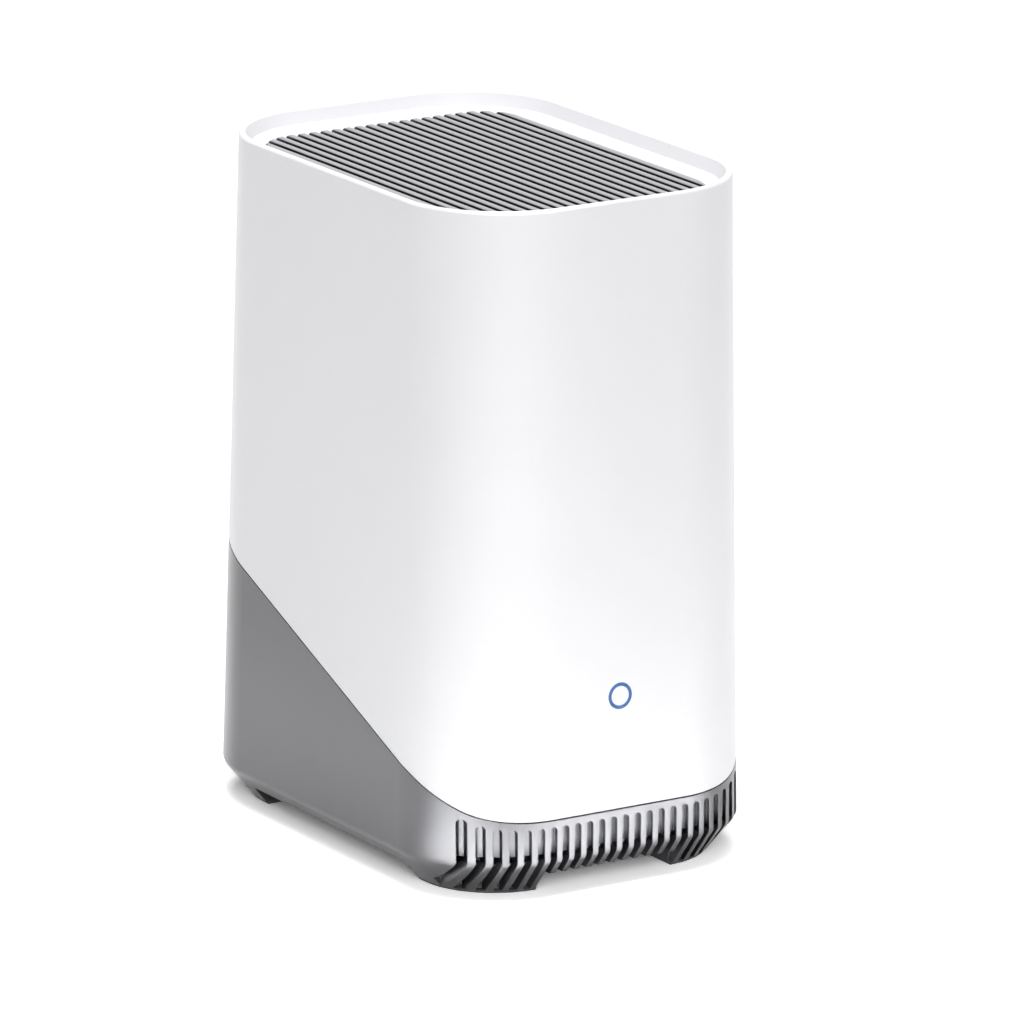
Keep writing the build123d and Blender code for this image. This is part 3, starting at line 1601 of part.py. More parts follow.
# Short M2 screws: two hold the light board, four hold the grille's flange under the ledge
m2_short_length = 4.0
m2_short = screw(m2_head_radius, m2_head_height, m2_radius, m2_short_length, m2_drive)
with BuildPart() as m2_short_screws:
    for x in (-led_screw_x, led_screw_x):
        with Locations(at(x, led_board_y + led_board_thickness, ring_z, (-90, 0, 0))):
            add(m2_short)
    for x in (-grille_screw_x, grille_screw_x):
        for y in grille_screw_y:
            with Locations(at(x, y, ledge_underside - flange_thickness, (180, 0, 0))):
                add(m2_short)
save(m2_short_screws, "m2_short_screws")

# Long M2 screws: four hold the fan tray up to the shell, two hold the speaker box on its pillars
m2_long_length = 8.7
m2_long = screw(m2_head_radius, m2_head_height, m2_radius, m2_long_length, m2_drive)
with BuildPart() as m2_long_screws:
    for x, y in tray_screw_places:
        with Locations(at(x, y, tray_z, (180, 0, 0))):
            add(m2_long)
    for x in (-speaker_screw_x, speaker_screw_x):
        with Locations(at(x, speaker_y, floor_height + screw_sink, (180, 0, 0))):
            add(m2_long)
save(m2_long_screws, "m2_long_screws")
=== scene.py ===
from math import radians, tan

import bpy
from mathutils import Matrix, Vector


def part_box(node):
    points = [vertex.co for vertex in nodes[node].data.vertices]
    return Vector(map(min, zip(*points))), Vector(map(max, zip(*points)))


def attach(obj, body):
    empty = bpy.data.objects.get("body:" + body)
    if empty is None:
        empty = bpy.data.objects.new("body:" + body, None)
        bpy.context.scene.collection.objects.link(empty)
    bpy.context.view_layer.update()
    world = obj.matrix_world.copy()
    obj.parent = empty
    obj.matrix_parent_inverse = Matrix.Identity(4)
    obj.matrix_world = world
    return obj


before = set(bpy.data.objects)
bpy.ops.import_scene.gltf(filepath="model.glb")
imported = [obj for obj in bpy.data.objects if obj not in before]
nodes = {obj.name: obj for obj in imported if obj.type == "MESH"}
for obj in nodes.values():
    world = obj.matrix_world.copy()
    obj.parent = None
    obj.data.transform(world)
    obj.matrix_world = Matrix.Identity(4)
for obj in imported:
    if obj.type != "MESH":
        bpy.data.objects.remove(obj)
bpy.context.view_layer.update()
MM = 0.001

# Camera and studio: the view that the photograph was taken from, through a long lens.
# The object stands on white paper in an even white surround, with one wide soft box in front
# at the left and one straight above.
lens_mm = 326.0
sensor_mm = 36.0
camera_place = (-1.3053, -2.1423, 0.7676)
camera_elevation = 15.13
camera_azimuth = -31.58
surround_light = 0.34

camera_data = bpy.data.cameras.new("camera")
camera_data.lens = lens_mm
camera_data.sensor_width = sensor_mm
camera_data.clip_end = 20.0
camera = bpy.data.objects.new("camera", camera_data)
camera.location = camera_place
camera.rotation_euler = (radians(90.0 - camera_elevation), 0.0, radians(camera_azimuth))
bpy.context.collection.objects.link(camera)
bpy.context.scene.camera = camera
bpy.context.scene.view_settings.view_transform = "Standard"


def linear(hex_colour, level=1.0):
    """Turns an sRGB hex colour to the linear values that a shader takes, times a level."""
    values = []
    for start in (1, 3, 5):
        share = int(hex_colour[start:start + 2], 16) / 255.0
        light = share / 12.92 if share <= 0.04045 else ((share + 0.055) / 1.055) ** 2.4
        values.append(level * light)
    return (*values, 1.0)


def add(tree, kind, settings=None, sockets=None):
    """Adds a node and its settings. A socket takes a value or a link from another node's output."""
    node = tree.nodes.new(kind)
    for name, value in (settings or {}).items():
        setattr(node, name, value)
    for name, value in (sockets or {}).items():
        if isinstance(value, bpy.types.NodeSocket):
            tree.links.new(value, node.inputs[name])
        else:
            node.inputs[name].default_value = value
    return node


def lamp(name, place, turn, size, watts, spread=180.0):
    """A soft box, turned by degrees, with a grid over it where its spread is narrow."""
    data = bpy.data.lights.new(name, "AREA")
    data.shape = "RECTANGLE"
    data.size, data.size_y = size
    data.energy = watts
    data.spread = radians(spread)
    soft_box = bpy.data.objects.new(name, data)
    soft_box.location = place
    soft_box.rotation_euler = [radians(angle) for angle in turn]
    bpy.context.collection.objects.link(soft_box)


def seen_directly(tree):
    """Is 1 for what the camera sees, straight or through a reflection or a clear piece."""
    ray = add(tree, "ShaderNodeLightPath")
    straight = add(
        tree, "ShaderNodeMath", {"operation": "MAXIMUM"},
        {0: ray.outputs["Is Camera Ray"], 1: ray.outputs["Is Glossy Ray"]},
    )
    return add(
        tree, "ShaderNodeMath", {"operation": "MAXIMUM"},
        {0: straight.outputs[0], 1: ray.outputs["Is Transmission Ray"]},
    ).outputs[0]


lamp(
    "key_soft_box", place=(-0.72, -1.54, 0.75), turn=(68.0, 0.0, -25.0),
    size=(1.0, 1.0), watts=11.8,
)
lamp(
    "top_soft_box", place=(0.0, 0.1, 1.6), turn=(0.0, 0.0, 0.0),
    size=(1.0, 1.0), watts=19.0,
)

# Two narrow spots from above light the paper just in front of the vents and off the near corner.
# The silver paint mirrors that paper, so its slats come up bright.
lamp(
    "paper_spot", place=(-0.02, -0.116, 0.5), turn=(0.0, 0.0, -18.0),
    size=(0.22, 0.05), watts=0.46, spread=8.0,
)
lamp(
    "corner_spot", place=(-0.105, -0.09, 0.5), turn=(0.0, 0.0, -45.0),
    size=(0.06, 0.04), watts=0.14, spread=8.0,
)

# The surround lights the object evenly, and is a pure white card where it is seen or mirrored.
world = bpy.data.worlds.new("studio_surround")
bpy.context.scene.world = world
world.use_nodes = True
sky = world.node_tree
sky.nodes.clear()
white = linear("#FFFFFF")
even_light = add(sky, "ShaderNodeBackground", None, {"Color": white, "Strength": surround_light})
white_card = add(sky, "ShaderNodeBackground", None, {"Color": white, "Strength": 1.0})
both = add(
    sky, "ShaderNodeMixShader", None,
    {0: seen_directly(sky), 1: even_light.outputs[0], 2: white_card.outputs[0]},
)
add(sky, "ShaderNodeOutputWorld", None, {"Surface": both.outputs[0]})

# The paper is a plain off-white for the light that it gives back. Where the camera sees it,
# it is bright enough to reach white in the open and still grey under the object.
floor_reach = 6.0
paper_tone = "#E8E8E8"
paper_white_level = 1.44
floor_mesh = bpy.data.meshes.new("studio_floor")
floor_mesh.from_pydata(
    [(-floor_reach, -floor_reach, 0), (floor_reach, -floor_reach, 0),
     (floor_reach, floor_reach, 0), (-floor_reach, floor_reach, 0)],
    [], [(0, 1, 2, 3)],
)
floor = bpy.data.objects.new("studio_floor", floor_mesh)
bpy.context.collection.objects.link(floor)
paper = bpy.data.materials.new("white_paper")
paper.use_nodes = True
tree = paper.node_tree
tree.nodes.clear()
plain = add(tree, "ShaderNodeBsdfDiffuse", None, {"Color": linear(paper_tone), "Roughness": 1.0})
bright = add(
    tree, "ShaderNodeBsdfDiffuse", None,
    {"Color": linear("#FFFFFF", paper_white_level), "Roughness": 1.0},
)
mixed = add(
    tree, "ShaderNodeMixShader", None,
    {0: seen_directly(tree), 1: plain.outputs[0], 2: bright.outputs[0]},
)
add(tree, "ShaderNodeOutputMaterial", None, {"Surface": mixed.outputs[0]})
floor_mesh.materials.append(paper)


# Base housing: one injection-moulded tub with the feet, the front vents and the port recess.
# It is charcoal polycarbonate, sprayed satin silver from outside, so the inside stays dark: bare
# plastic and painted shade.
tone_drift_mm = 30.0
gloss_drift = 0.03
silver_tones = ("#626264", "#68686A")
# Bare dark plastic. The same colour is painted shade inside the base and in the vents' grooves.
bare_plastic_and_shade = "#2C2C2E"
body_width, body_depth, corner_radius = 105.3 * MM, 151.3 * MM, 31.0 * MM
back_lean = 2.262
corner_x, corner_y = body_width / 2 - corner_radius, body_depth / 2 - corner_radius
paint_reach = 2.1 * MM
bend_height = 11.0 * MM
ledge_tilt = 0.6
foot_plate_height = 4.0 * MM
groove_start, groove_end = 0.35 * MM, 0.9 * MM
fade_top, fade_end = 16.5 * MM, 12.6 * MM
# How much painted shade the vents' grooves get high up.
groove_shade_share = 0.18
edge_radius = 0.35 * MM


def drifting(tree, place, colours, drift_mm):
    """Two close colours that run into each other over a distance, and the noise behind them."""
    drift = add(
        tree, "ShaderNodeTexNoise", None,
        {"Vector": place, "Scale": 1.0 / (drift_mm * MM), "Detail": 3.0},
    )
    # In a mix of colours, socket 0 is the share, 6 and 7 are the colours, and output 2 is the mix.
    colour = add(
        tree, "ShaderNodeMix", {"data_type": "RGBA"},
        {0: drift.outputs[0], 6: linear(colours[0]), 7: linear(colours[1])},
    )
    return colour.outputs[2], drift.outputs[0]


def grained(tree, place, grain_mm, relief_mm, stretch=(1.0, 1.0, 1.0)):
    """The relief of a grain of a real size, drawn out along an axis where stretch is small."""
    drawn = add(tree, "ShaderNodeMapping", None, {"Vector": place, "Scale": stretch})
    grain = add(
        tree, "ShaderNodeTexNoise", None,
        {"Vector": drawn.outputs[0], "Scale": 1.0 / (grain_mm * MM), "Detail": 2.0},
    )
    relief = add(
        tree, "ShaderNodeBump", None,
        {"Strength": 1.0, "Distance": relief_mm * MM, "Height": grain.outputs[0]},
    )
    return relief.outputs[0]


def finish(
    name, colours, roughness, grain_mm, relief_mm, metallic=0.0, ior=1.5, stretch=(1.0, 1.0, 1.0)
):
    """A solid material: two close colours, a gloss that drifts a little, and a fine relief."""
    material = bpy.data.materials.new(name)
    material.use_nodes = True
    tree = material.node_tree
    tree.nodes.clear()
    place = add(tree, "ShaderNodeTexCoord").outputs["Object"]
    colour, drift = drifting(tree, place, colours, tone_drift_mm)
    gloss = add(
        tree, "ShaderNodeMapRange", None,
        {"Value": drift, "To Min": roughness - gloss_drift, "To Max": roughness + gloss_drift},
    )
    surface = add(
        tree, "ShaderNodeBsdfPrincipled", None,
        {"Base Color": colour, "Roughness": gloss.outputs[0], "Metallic": metallic, "IOR": ior,
         "Normal": grained(tree, place, grain_mm, relief_mm, stretch)},
    )
    add(tree, "ShaderNodeOutputMaterial", None, {"Surface": surface.outputs[0]})
    return material


def paint(material, *names):
    """Gives carried-over pieces their finish."""
    for name in names:
        slots = nodes[name].material_slots
        if slots:
            for slot in slots:
                slot.material = material
        else:
            nodes[name].data.materials.append(material)


# Silver spray paint: fine aluminium flakes under a satin clear coat give a soft metallic glow
# that is brighter where it mirrors a lamp. The flakes are 0.05 mm and drawn 0.25 mm coarse to show.
silver_paint = finish(
    "sprayed_silver_paint", silver_tones,
    roughness=0.30, grain_mm=0.25, relief_mm=0.004, metallic=0.9,
)
tree = silver_paint.node_tree
surface = tree.nodes["Principled BSDF"]
place = tree.nodes["Texture Coordinate"].outputs["Object"]
split = add(tree, "ShaderNodeSeparateXYZ", None, {0: place})
height = split.outputs[2]

# How far a point is from the nearest corner's axis, in plan. The outer face is one radius out.
side = add(tree, "ShaderNodeMath", {"operation": "ABSOLUTE"}, {0: split.outputs[0]})
side = add(tree, "ShaderNodeMath", {"operation": "SUBTRACT"}, {0: side.outputs[0], 1: corner_x})
side = add(tree, "ShaderNodeMath", {"operation": "MAXIMUM"}, {0: side.outputs[0], 1: 0.0})
lean = add(
    tree, "ShaderNodeMath", {"operation": "MULTIPLY_ADD"},
    {0: height, 1: tan(radians(back_lean)), 2: split.outputs[1]},
)
front = add(tree, "ShaderNodeMath", {"operation": "MULTIPLY"}, {0: split.outputs[1], 1: -1.0})
end = add(
    tree, "ShaderNodeMath", {"operation": "MAXIMUM"}, {0: lean.outputs[0], 1: front.outputs[0]}
)
end = add(tree, "ShaderNodeMath", {"operation": "SUBTRACT"}, {0: end.outputs[0], 1: corner_y})
end = add(tree, "ShaderNodeMath", {"operation": "MAXIMUM"}, {0: end.outputs[0], 1: 0.0})
plan = add(tree, "ShaderNodeCombineXYZ", None, {0: side.outputs[0], 1: end.outputs[0]})
reach = add(
    tree, "ShaderNodeVectorMath", {"operation": "LENGTH"}, {0: plan.outputs[0]}
).outputs["Value"]

# The inner walls above the bend and the ledges above the foot plates see no paint: they get the
# bare dark colour, which is also painted shade inside the base. A face is a ledge where its normal
# points up by more than ledge_tilt.
within = add(
    tree, "ShaderNodeMath", {"operation": "LESS_THAN"},
    {0: reach, 1: corner_radius - paint_reach},
)
above = add(tree, "ShaderNodeMath", {"operation": "GREATER_THAN"}, {0: height, 1: bend_height})
walls = add(
    tree, "ShaderNodeMath", {"operation": "MULTIPLY"},
    {0: within.outputs[0], 1: above.outputs[0]},
)
normal = add(tree, "ShaderNodeNewGeometry").outputs["Normal"]
facing = add(tree, "ShaderNodeSeparateXYZ", None, {0: normal})
upward = add(
    tree, "ShaderNodeMath", {"operation": "GREATER_THAN"}, {0: facing.outputs[2], 1: ledge_tilt}
)
clear = add(
    tree, "ShaderNodeMath", {"operation": "GREATER_THAN"}, {0: height, 1: foot_plate_height}
)
upward = add(
    tree, "ShaderNodeMath", {"operation": "MULTIPLY"},
    {0: upward.outputs[0], 1: clear.outputs[0]},
)
bare_and_shaded = add(
    tree, "ShaderNodeMath", {"operation": "MAXIMUM"},
    {0: walls.outputs[0], 1: upward.outputs[0]},
)

# In the vents' grooves the colour is darkened, a little near the top and fully towards their open
# lower end: painted shade.
low = add(
    tree, "ShaderNodeMapRange", {"interpolation_type": "SMOOTHSTEP"},
    {"Value": height, "From Min": fade_top, "From Max": fade_end,
     "To Min": groove_shade_share, "To Max": 1.0},
)
deep = add(
    tree, "ShaderNodeMapRange", {"interpolation_type": "SMOOTHSTEP"},
    {"Value": reach,
     "From Min": corner_radius - groove_start, "From Max": corner_radius - groove_end},
)
deep = add(
    tree, "ShaderNodeMath", {"operation": "MULTIPLY"}, {0: deep.outputs[0], 1: above.outputs[0]}
)
groove_shade = add(
    tree, "ShaderNodeMath", {"operation": "MULTIPLY"}, {0: low.outputs[0], 1: deep.outputs[0]}
)
bare_and_shaded = add(
    tree, "ShaderNodeMath", {"operation": "MAXIMUM"},
    {0: bare_and_shaded.outputs[0], 1: groove_shade.outputs[0]},
)
# Mix in the bare dark colour: unsprayed plastic inside, and painted shade inside the base and in
# the grooves.
sprayed = surface.inputs["Base Color"].links[0].from_socket
bare_and_shade = add(
    tree, "ShaderNodeMix", {"data_type": "RGBA"},
    {0: bare_and_shaded.outputs[0], 6: sprayed, 7: linear(bare_plastic_and_shade)},
)
tree.links.new(bare_and_shade.outputs[2], surface.inputs["Base Color"])

# A moulded edge is never sharp, so each one catches a thin line of light.
soft_edge = add(tree, "ShaderNodeBevel", {"samples": 6}, {"Radius": edge_radius})
tree.links.new(soft_edge.outputs[0], tree.nodes["Bump"].inputs["Normal"])
paint(silver_paint, "base_housing")

# Foot pads: four moulded rubber rims glued under the corners, matt and mid-grey.
# Rubber takes a dull bloom, so it is rough and slightly uneven in tone.
soft_rubber = finish(
    "moulded_grey_rubber", ("#5F5F61", "#69696B"),
    roughness=0.78, grain_mm=0.5, relief_mm=0.02, ior=1.52,
)
corners = [f"{end}_{side}" for end in ("front", "rear") for side in ("left", "right")]
paint(soft_rubber, *[f"foot_pad_{corner}" for corner in corners])

# Port panel: a 1.2 mm plate of black ABS with a spark-eroded texture, clipped into the recess.
# The texture is 0.4 mm and breaks the gloss into a fine matt sparkle.
spark_abs = finish(
    "spark_textured_black_abs", ("#18181A", "#1E1E20"),
    roughness=0.5, grain_mm=0.4, relief_mm=0.03, ior=1.53,
)
paint(spark_abs, "port_panel")

# Main board: 1.6 mm glass-fibre laminate under green solder mask, on four turned brass spacers.
# Copper tracks 0.3 mm wide show through the mask as a slightly lighter green.
track_pitch = 2.2 * MM
track_width = 0.3 * MM
track_run = 7.0 * track_pitch
track_green = "#1D6541"
solder_mask = finish(
    "green_solder_mask", ("#0C3B25", "#0F452C"),
    roughness=0.32, grain_mm=0.6, relief_mm=0.006, ior=1.55,
)
tree = solder_mask.node_tree
surface = tree.nodes["Principled BSDF"]
place = tree.nodes["Texture Coordinate"].outputs["Object"]
split = add(tree, "ShaderNodeSeparateXYZ", None, {0: place})
flat = add(tree, "ShaderNodeCombineXYZ", None, {0: split.outputs[1], 1: split.outputs[2]})
tracks = add(
    tree, "ShaderNodeTexBrick", {"offset": 0.5, "squash": 1.0},
    {"Vector": flat.outputs[0], "Scale": 1.0, "Mortar Size": track_width, "Mortar Smooth": 0.1,
     "Brick Width": track_run, "Row Height": track_pitch},
)
masked = surface.inputs["Base Color"].links[0].from_socket
tracked = add(
    tree, "ShaderNodeMix", {"data_type": "RGBA"},
    {0: tracks.outputs["Fac"], 6: masked, 7: linear(track_green)},
)
tree.links.new(tracked.outputs[2], surface.inputs["Base Color"])
paint(solder_mask, "main_board", "led_board", "sata_board")

# The lathe leaves fine rings on the brass, which stretch its highlight along each spacer.
turned_brass = finish(
    "turned_brass", ("#B99548", "#C4A152"),
    roughness=0.3, grain_mm=0.2, relief_mm=0.004, metallic=1.0, stretch=(12.0, 1.0, 1.0),
)
paint(turned_brass, "board_spacers")

# Small ceramic parts on the back of the main board: reflow-soldered blocks of 1.6 x 0.8 mm,
# a few dozen of them in loose rows. Geometry Nodes place them and leave some places empty.
ceramic_size = (0.7 * MM, 1.6 * MM, 0.8 * MM)
ceramic_field = (52.0 * MM, 54.0 * MM)
ceramic_rows, ceramic_columns = 10, 9
ceramic_middle_z = 61.0 * MM
ceramic_share = 0.7
ceramic_seed = 7


def grow(name, tree, sizes, material, body):
    """Runs a node tree with named sizes, keeps the result as a plain mesh and puts it on a body."""
    grown = bpy.data.objects.new(name, bpy.data.meshes.new(name))
    bpy.context.collection.objects.link(grown)
    modifier = grown.modifiers.new(name, "NODES")
    modifier.node_group = tree
    for item in tree.interface.items_tree:
        if item.in_out == "INPUT" and item.name in sizes:
            modifier[item.identifier] = sizes[item.name]
        elif item.in_out == "INPUT" and item.socket_type == "NodeSocketMaterial":
            modifier[item.identifier] = material
    evaluated = grown.evaluated_get(bpy.context.evaluated_depsgraph_get())
    result = bpy.data.meshes.new_from_object(evaluated)
    grown.modifiers.clear()
    grown.data = result
    if not result.materials:
        result.materials.append(material)
    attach(grown, body)


def geometry_tree(name, **sockets):
    """An empty geometry tree with named inputs, its input node, and a function that closes it."""
    tree = bpy.data.node_groups.new(name, "GeometryNodeTree")
    tree.interface.new_socket("Geometry", in_out="OUTPUT", socket_type="NodeSocketGeometry")
    for socket, kind in sockets.items():
        tree.interface.new_socket(socket, in_out="INPUT", socket_type=f"NodeSocket{kind}")
    given = add(tree, "NodeGroupInput").outputs

    def close(instances):
        whole = add(tree, "GeometryNodeRealizeInstances", None, {0: instances})
        painted = add(
            tree, "GeometryNodeSetMaterial", None,
            {"Geometry": whole.outputs[0], "Material": given["Material"]},
        )
        add(tree, "NodeGroupOutput", None, {0: painted.outputs[0]})

    return tree, given, close


field_tree, given, close = geometry_tree(
    "field_of_small_parts", Length="Float", Height="Float", Columns="Int", Rows="Int",
    Place="Vector", Size="Vector", Seed="Int", Material="Material",
)
grid = add(
    field_tree, "GeometryNodeMeshGrid", None,
    {"Size X": given["Length"], "Size Y": given["Height"],
     "Vertices X": given["Columns"], "Vertices Y": given["Rows"]},
)
upright = add(
    field_tree, "GeometryNodeTransform", None,
    {"Geometry": grid.outputs[0], "Translation": given["Place"],
     "Rotation": (radians(90.0), 0.0, radians(90.0))},
)
block = add(field_tree, "GeometryNodeMeshCube", None, {"Size": given["Size"]})
# Output 3 of the random value is its yes or no, and output 2 its whole number: 0 or 1 quarter turn.
kept = add(
    field_tree, "FunctionNodeRandomValue", {"data_type": "BOOLEAN"},
    {"Probability": ceramic_share, "Seed": given["Seed"]},
)
turned = add(
    field_tree, "FunctionNodeRandomValue", {"data_type": "INT"}, {4: 0, 5: 1, "Seed": given["Seed"]}
)
quarter = add(
    field_tree, "ShaderNodeMath", {"operation": "MULTIPLY"},
    {0: turned.outputs[2], 1: radians(90.0)},
)
angle = add(field_tree, "ShaderNodeCombineXYZ", None, {0: quarter.outputs[0]})
parts = add(
    field_tree, "GeometryNodeInstanceOnPoints", None,
    {"Points": upright.outputs[0], "Selection": kept.outputs[3],
     "Instance": block.outputs[0], "Rotation": angle.outputs[0]},
)
close(parts.outputs[0])

# Fired ceramic is a warm brown with a slight glaze, so the parts stand out from the green board.
fired_ceramic = finish(
    "fired_brown_ceramic", ("#6E5A46", "#8A7358"),
    roughness=0.45, grain_mm=0.3, relief_mm=0.01, ior=1.7,
)
board_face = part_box("main_board")[1].x
grow(
    "ceramic_parts", field_tree,
    {"Length": ceramic_field[0], "Height": ceramic_field[1],
     "Columns": ceramic_columns, "Rows": ceramic_rows,
     "Place": (board_face + ceramic_size[0] / 2, 0.0, ceramic_middle_z),
     "Size": ceramic_size, "Seed": ceramic_seed},
    fired_ceramic, "hub",
)

# Processor, memory and headers: chips moulded in black epoxy, and nylon headers in natural cream.
# Epoxy is matt with a faint grain from its glass filler. Nylon is waxy.
chip_epoxy = finish(
    "moulded_chip_epoxy", ("#17171A", "#1F1F22"),
    roughness=0.55, grain_mm=0.25, relief_mm=0.01, ior=1.57,
)
paint(chip_epoxy, "processor", "memory_chips", "drive_link", "sata_socket", "usb_insert", "dc_jack")
natural_nylon = finish(
    "natural_nylon", ("#D9D0B6", "#E0D8C0"),
    roughness=0.42, grain_mm=0.4, relief_mm=0.01, ior=1.53,
)
paint(natural_nylon, "lead_headers")

# The filled silicone is chalky grey and soft, and shows as a dull band under the heatsink.
silicone_pad = finish(
    "filled_silicone_pad", ("#8C9298", "#979DA3"),
    roughness=0.7, grain_mm=0.6, relief_mm=0.03, ior=1.41,
)
paint(silicone_pad, "thermal_pad")

# Heatsink: extruded aluminium, blasted to a fine matt, pressed on the processor through a soft pad.
# The extruder leaves faint lines along the fins.
blasted_aluminium = finish(
    "extruded_aluminium", ("#B9BBBE", "#C4C6C9"),
    roughness=0.4, grain_mm=0.3, relief_mm=0.008, metallic=1.0, stretch=(1.0, 1.0, 0.08),
)
paint(blasted_aluminium, "heatsink")

# Capacitors and radio shields: drawn aluminium cans and folded tin-plated covers.
# Tin is bright with soft clouds, and the cans are smoother.
drawn_aluminium = finish(
    "drawn_aluminium", ("#B0B2B6", "#BABCC0"),
    roughness=0.26, grain_mm=0.5, relief_mm=0.003, metallic=1.0,
)
paint(drawn_aluminium, "capacitors")
tin_plate = finish(
    "tin_plated_steel", ("#B3B5B7", "#C2C4C6"),
    roughness=0.3, grain_mm=2.5, relief_mm=0.01, metallic=1.0,
)
paint(tin_plate, "wifi_shield", "radio_shield", "lan_jack", "usb_shell")

# Network and USB contacts: spring brass, plated with gold, a warm glint in the sockets' mouths.
# The four USB strips lie on the tongue, so Geometry Nodes repeat one block along a line.
gold_plate = finish(
    "gold_plated_contacts", ("#D6A94E", "#E0B65E"),
    roughness=0.22, grain_mm=0.2, relief_mm=0.002, metallic=1.0,
)
paint(gold_plate, "lan_contacts", "dc_pin")
usb_strip_count = 4
usb_strip_pitch = 2.25 * MM
usb_strip_size = (0.1 * MM, 8.5 * MM, 1.1 * MM)
usb_tongue_offset = 0.39 * MM
usb_strip_setback = 1.2 * MM

row_tree, given, close = geometry_tree(
    "row_of_blocks", Count="Int", First="Vector", Step="Vector", Size="Vector", Material="Material"
)
line = add(
    row_tree, "GeometryNodeMeshLine", {"mode": "OFFSET"},
    {"Count": given["Count"], "Start Location": given["First"], "Offset": given["Step"]},
)
block = add(row_tree, "GeometryNodeMeshCube", None, {"Size": given["Size"]})
blocks = add(
    row_tree, "GeometryNodeInstanceOnPoints", None,
    {"Points": line.outputs[0], "Instance": block.outputs[0]},
)
close(blocks.outputs[0])
usb_low, usb_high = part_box("usb_shell")
grow(
    "usb_strips", row_tree,
    {"Count": usb_strip_count, "Step": (0.0, 0.0, usb_strip_pitch), "Size": usb_strip_size,
     "First": ((usb_low.x + usb_high.x) / 2 + usb_tongue_offset - usb_strip_size[0] / 2,
               usb_high.y - usb_strip_setback - usb_strip_size[1] / 2,
               (usb_low.z + usb_high.z) / 2 - usb_strip_pitch * (usb_strip_count - 1) / 2)},
    gold_plate, "hub",
)

# Buttons and switches: a black cap on a sprung tact switch, and a reset switch behind its pinhole.
# The cap is the panel's ABS without its texture, polished by fingers, and the plungers are nylon.
button_abs = finish(
    "polished_black_abs", ("#202022", "#262628"),
    roughness=0.34, grain_mm=0.5, relief_mm=0.006, ior=1.53,
)
paint(button_abs, "sync_button")
paint(chip_epoxy, "sync_switch", "reset_switch")
paint(natural_nylon, "sync_plunger", "reset_plunger")

# Speaker: a closed ABS box on two pillars, with a driver in a plated basket and a pulp cone.
# The box is satin black and the plate smoky. Pressed pulp is matt, with fibres about 1 mm long.
moulded_black_abs = finish(
    "moulded_black_abs", ("#1E1E20", "#252527"),
    roughness=0.5, grain_mm=0.5, relief_mm=0.02, ior=1.53,
)
paint(moulded_black_abs, "speaker_box")
dark_plate = finish(
    "black_zinc_plate", ("#4A4C50", "#55575B"),
    roughness=0.36, grain_mm=0.5, relief_mm=0.006, metallic=1.0,
)
paint(dark_plate, "speaker_driver", "fan_magnet")
pressed_pulp = finish(
    "pressed_paper_pulp", ("#232324", "#303031"),
    roughness=0.88, grain_mm=0.8, relief_mm=0.05, ior=1.45, stretch=(1.0, 0.3, 1.0),
)
paint(pressed_pulp, "speaker_cone")

# Drive cage: 1 mm zinc-plated steel sheet, slotted, folded to a sleeve and screwed to the floor.
# Rolling leaves fine upright lines, and the zinc a faint cloud.
zinc_steel = finish(
    "zinc_plated_steel", ("#A2A6A9", "#AEB2B5"),
    roughness=0.34, grain_mm=0.35, relief_mm=0.006, metallic=1.0, stretch=(1.0, 1.0, 0.06),
)
paint(zinc_steel, "drive_cage")

# Drive socket: its gold strips face down into the bay, 22 of them at the standard 1.27 mm.
drive_strip_count = 22
drive_strip_pitch = 1.27 * MM
drive_strip_size = (2.4 * MM, 0.7 * MM, 0.1 * MM)
socket_low, socket_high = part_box("sata_socket")
grow(
    "drive_strips", row_tree,
    {"Count": drive_strip_count, "Step": (0.0, drive_strip_pitch, 0.0), "Size": drive_strip_size,
     "First": ((socket_low.x + socket_high.x) / 2,
               (socket_low.y + socket_high.y) / 2 - drive_strip_pitch * (drive_strip_count - 1) / 2,
               socket_low.z - drive_strip_size[2] / 2)},
    gold_plate, "hub",
)

# Drive sled: moulded light-grey ABS rails and plate, satin and pale, open on the drive's side.
# Its cover and the folding handle are sprayed like the base, because they show underneath.
sled_abs = finish(
    "moulded_light_grey_abs", ("#B4B4B6", "#BCBCBE"),
    roughness=0.45, grain_mm=0.4, relief_mm=0.015, ior=1.53,
)
paint(sled_abs, "drive_sled", "fan_tray")
silver_trim = finish(
    "sprayed_silver_trim", silver_tones,
    roughness=0.30, grain_mm=0.25, relief_mm=0.004, metallic=0.9,
)
paint(silver_trim, "sled_cover", "sled_handle")

# Fan: black glass-filled frame and rotor, a sintered bronze bearing and copper coils.
# The glass clouds the black a little, and the sintered bronze is dull and pitted.
# Wound wire 0.25 mm thick gives the coils fine level lines.
glass_filled = finish(
    "glass_filled_black_nylon", ("#1B1B1D", "#242426"),
    roughness=0.52, grain_mm=0.6, relief_mm=0.02, ior=1.55,
)
paint(glass_filled, "fan_frame", "fan_rotor")
sintered_bronze = finish(
    "sintered_bronze", ("#8F6C42", "#9D784B"),
    roughness=0.5, grain_mm=0.15, relief_mm=0.01, metallic=1.0,
)
paint(sintered_bronze, "fan_bearing")
wound_copper = finish(
    "wound_copper_wire", ("#A95F36", "#BB6E42"),
    roughness=0.32, grain_mm=0.5, relief_mm=0.08, metallic=1.0, stretch=(0.02, 0.02, 2.0),
)
paint(wound_copper, "fan_coils")

# Antennas: thin printed strips on the fan tray's two tabs, with their coaxial leads soldered on.
# They share the boards' laminate, in plain mask without tracks.
antenna_mask = finish(
    "plain_green_laminate", ("#0D4029", "#114B30"),
    roughness=0.35, grain_mm=0.5, relief_mm=0.006, ior=1.55,
)
paint(antenna_mask, "antenna_left", "antenna_right")

# Leads: wires in a matt black PVC sleeve, from the main board to fan, light and speaker.
# Extruded PVC has a soft, even sheen.
pvc_sleeve = finish(
    "extruded_black_pvc", ("#151516", "#1B1B1C"),
    roughness=0.55, grain_mm=0.7, relief_mm=0.01, ior=1.53,
)
paint(pvc_sleeve, "fan_lead", "light_lead", "speaker_lead")

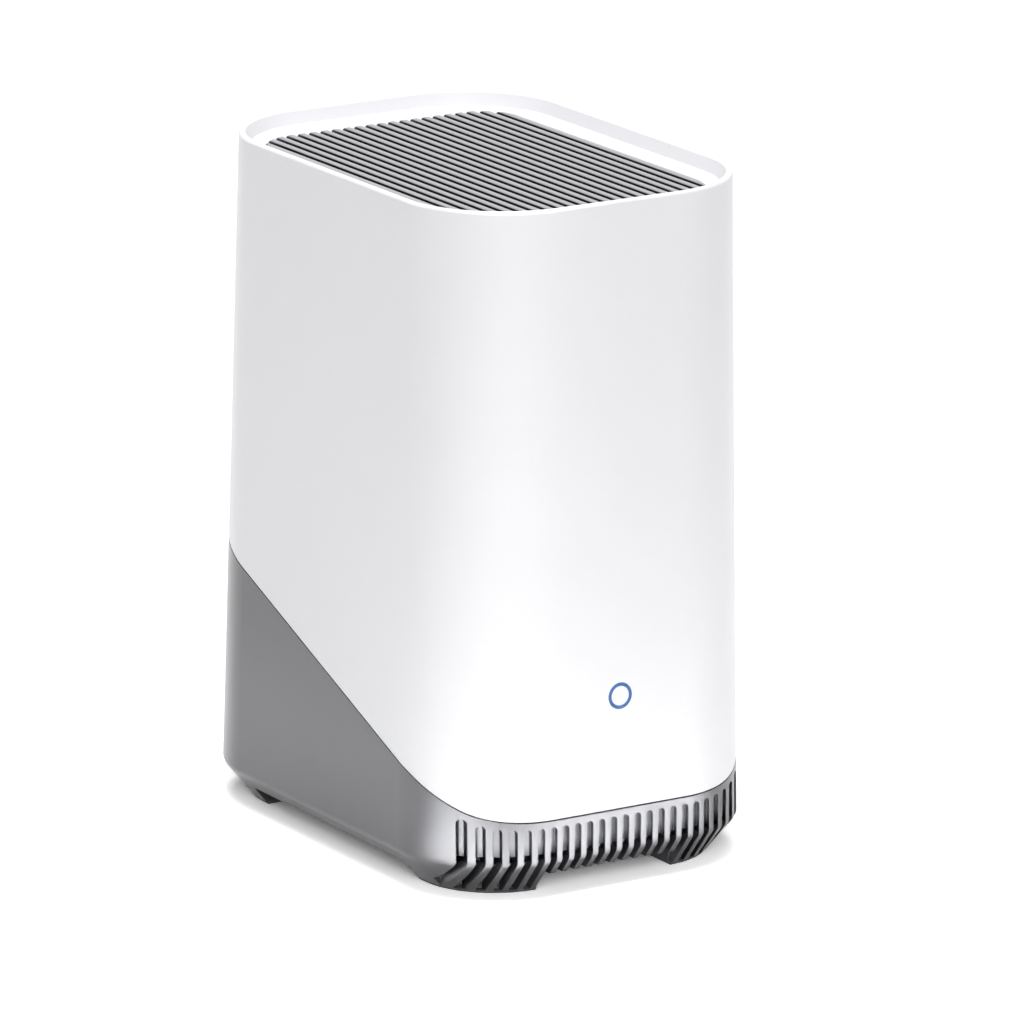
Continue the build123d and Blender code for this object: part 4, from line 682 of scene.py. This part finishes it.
# Outer shell: one deep injection moulding in white ASA, slid over the base and held from below.
# Its satin surface has a very fine spark texture, 0.25 mm, that softens every reflection.
white_asa = finish(
    "moulded_white_asa", ("#EDEDF0", "#EFEFF2"),
    roughness=0.33, grain_mm=0.25, relief_mm=0.003, ior=1.49,
)
paint(white_asa, "outer_shell")

# Light ring: a clear acrylic cup, tinted blue and lit from behind, around a white core.
# Only its 0.95 mm rim reaches the front, flush with the shell.
ring_blue = "#2F83CC"
ring_glow = 0.03
lit_acrylic = finish(
    "lit_blue_acrylic", ("#265488", "#2E5C90"),
    roughness=0.2, grain_mm=0.5, relief_mm=0.002, ior=1.49,
)
surface = lit_acrylic.node_tree.nodes["Principled BSDF"]
surface.inputs["Emission Color"].default_value = linear(ring_blue)
surface.inputs["Emission Strength"].default_value = ring_glow
paint(lit_acrylic, "light_guide")
paint(white_asa, "light_guide_core")

# Top grille: silver-sprayed ribs over a dark cavity. The gun reaches only the rounded tops,
# so the walls between the ribs stay the black of the moulding, and that black is also painted shade
# in the slots.
bare_black_and_slot_shade = "#101011"
painted_depth = 0.22 * MM
shaded_bare_depth = 0.4 * MM
grille_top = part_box("top_grille")[1].z
grille_paint = finish(
    "sprayed_light_silver", ("#ACACB0", "#B4B4B8"),
    roughness=0.34, grain_mm=0.25, relief_mm=0.004, metallic=0.6,
)
tree = grille_paint.node_tree
surface = tree.nodes["Principled BSDF"]
place = tree.nodes["Texture Coordinate"].outputs["Object"]
split = add(tree, "ShaderNodeSeparateXYZ", None, {0: place})
depth = add(
    tree, "ShaderNodeMapRange", None,
    {"Value": split.outputs[2],
     "From Min": grille_top - shaded_bare_depth, "From Max": grille_top - painted_depth},
)
# The black below the rib tops is bare moulding and painted shade in the slots.
sprayed = surface.inputs["Base Color"].links[0].from_socket
bare_and_shade = add(
    tree, "ShaderNodeMix", {"data_type": "RGBA"},
    {0: depth.outputs[0], 6: linear(bare_black_and_slot_shade), 7: sprayed},
)
tree.links.new(bare_and_shade.outputs[2], surface.inputs["Base Color"])
paint(grille_paint, "top_grille")

# Screws, pins and the fan's shaft: cold-headed steel, zinc plated, with turned marks on the heads.
screw_zinc = finish(
    "zinc_plated_fasteners", ("#999C9F", "#A8ABAE"),
    roughness=0.3, grain_mm=0.3, relief_mm=0.006, metallic=1.0,
)
paint(
    screw_zinc, "case_screws", "m3_short_screws", "m2_short_screws", "m2_long_screws", "fan_screws",
    "handle_pins", "fan_shaft",
)
